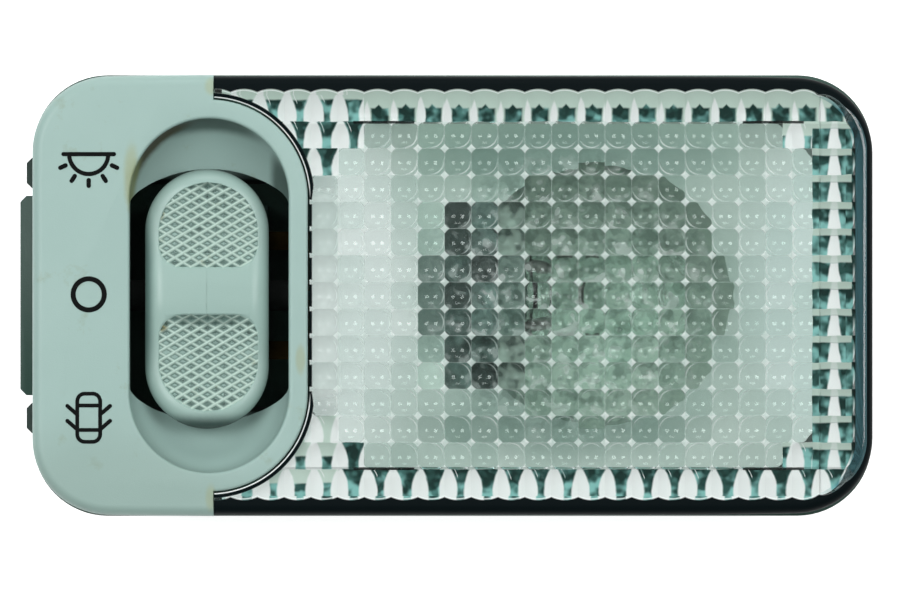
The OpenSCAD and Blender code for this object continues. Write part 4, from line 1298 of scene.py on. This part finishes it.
for name, piece, slotName, material, width in (
    ("rear_housing", "rearHousing", "housing_plastic", housingAbs, 0.2),
    ("bulb_holder", "bulbHolder", "black_plastic", holderPbt, 0.15),
):
    softenNode(name, piece, "lamp_body", slotName, material, width)

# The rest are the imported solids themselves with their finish
for name, material in (
    ("reflector_plate", plateAbs), ("bowl_reflector", bowlAluminium), ("bulb_glass", bulbGlass),
    ("bulb_filament", tungstenWire), ("bulb_leads", tungstenWire), ("holder_contacts", stripBrass),
    ("live_bar", stripBrass), ("common_bar", stripBrass), ("earth_bar", stripBrass), ("door_bar", stripBrass),
    ("wiper_contact", stripBrass), ("detent_spring", springSteel), ("spring_clips", blackSteel),
    ("bezel_screws", zincSteel),
):
    for place in nodes[name].material_slots:
        place.material = material
print("carried solids dressed")


# camera, floor and lamps
stage = {
    "distance": 3.5, "frameWidth": 0.1178, "centreX": -0.00033, "centreY": -0.00059,  # in metres
    "floorHalf": 1500, "floorZ": -18.02, "floorGlow": 0.8, "skyFill": 0.25,
}
camera = bpy.data.objects.new("camera", bpy.data.cameras.new("camera"))
bpy.context.scene.collection.objects.link(camera)
camera.location = (stage["centreX"], stage["centreY"], lamp["topZ"] * mm + stage["distance"])
camera.data.sensor_width = 36.0
camera.data.lens = 36.0 * stage["distance"] / stage["frameWidth"]
camera.data.clip_start = 0.01
camera.data.clip_end = 20.0
bpy.context.scene.camera = camera


# White card that looks evenly lit to the eye and in reflections
def makeFloor():
    half, z = stage["floorHalf"], stage["floorZ"]
    corners = [(-half, -half, z), (half, -half, z), (half, half, z), (-half, half, z)]
    floor = newObject("floor", corners, [(0, 1, 2, 3)])
    material, tree, output, place = newMaterial("white_paper_floor")
    fibre = addNode(tree, "ShaderNodeTexNoise", None, {"Vector": place, "Scale": 600.0, "Detail": 3.0})
    tone = addNode(tree, "ShaderNodeMix", {"data_type": "RGBA"}, {
        "Factor": fibre.outputs["Fac"], "A": hexToLinear("#f4f6f5"), "B": hexToLinear("#fafbfb")})
    paper = addNode(tree, "ShaderNodeBsdfDiffuse", None, {"Color": tone.outputs["Result"]})
    path = addNode(tree, "ShaderNodeLightPath").outputs
    known = {"camera": path["Is Camera Ray"], "glossy": path["Is Glossy Ray"],
             "transmission": path["Is Transmission Ray"], "brightness": stage["floorGlow"]}
    addFormulas(tree, known, ("glow = glossy max transmission max camera * brightness",))
    lift = addNode(tree, "ShaderNodeEmission", None, {"Color": (1, 1, 1, 1), "Strength": known["glow"]})
    both = addNode(tree, "ShaderNodeAddShader", None, {0: paper.outputs["BSDF"], 1: lift.outputs["Emission"]})
    tree.links.new(both.outputs["Shader"], output.inputs["Surface"])
    floor.data.materials.append(material)


makeFloor()

lampLooks = (
    # name, place in metres, size, power
    ("softboxLeft", (-0.36, 0.10, 0.62), (0.26, 0.30), 1.9),
    ("softboxRight", (0.36, 0.10, 0.62), (0.26, 0.30), 1.65),
    ("topFill", (0.0, 0.75, 0.55), (0.5, 0.3), 1.9),
)
for name, spot, size, power in lampLooks:
    data = bpy.data.lights.new(name, "AREA")
    data.shape = "RECTANGLE"
    data.size, data.size_y = size
    data.energy = power
    light = bpy.data.objects.new(name, data)
    bpy.context.scene.collection.objects.link(light)
    light.location = spot
    light.rotation_mode = "QUATERNION"
    light.rotation_quaternion = (Vector((0, 0, 0)) - Vector(spot)).to_track_quat("-Z", "Y")


def makeWorld():
    world = bpy.data.worlds.new("studio")
    bpy.context.scene.world = world
    world.use_nodes = True
    tree = world.node_tree
    tree.nodes.clear()
    path = addNode(tree, "ShaderNodeLightPath")
    strength = addNode(tree, "ShaderNodeMapRange", None, {
        "Value": path.outputs["Is Camera Ray"], "To Min": stage["skyFill"], "To Max": 1.0})
    sky = addNode(tree, "ShaderNodeBackground", None, {
        "Color": (1, 1, 1, 1), "Strength": strength.outputs["Result"]})
    output = addNode(tree, "ShaderNodeOutputWorld")
    tree.links.new(sky.outputs["Background"], output.inputs["Surface"])


makeWorld()
bpy.context.scene.view_settings.view_transform = "Standard"
print("stage made")
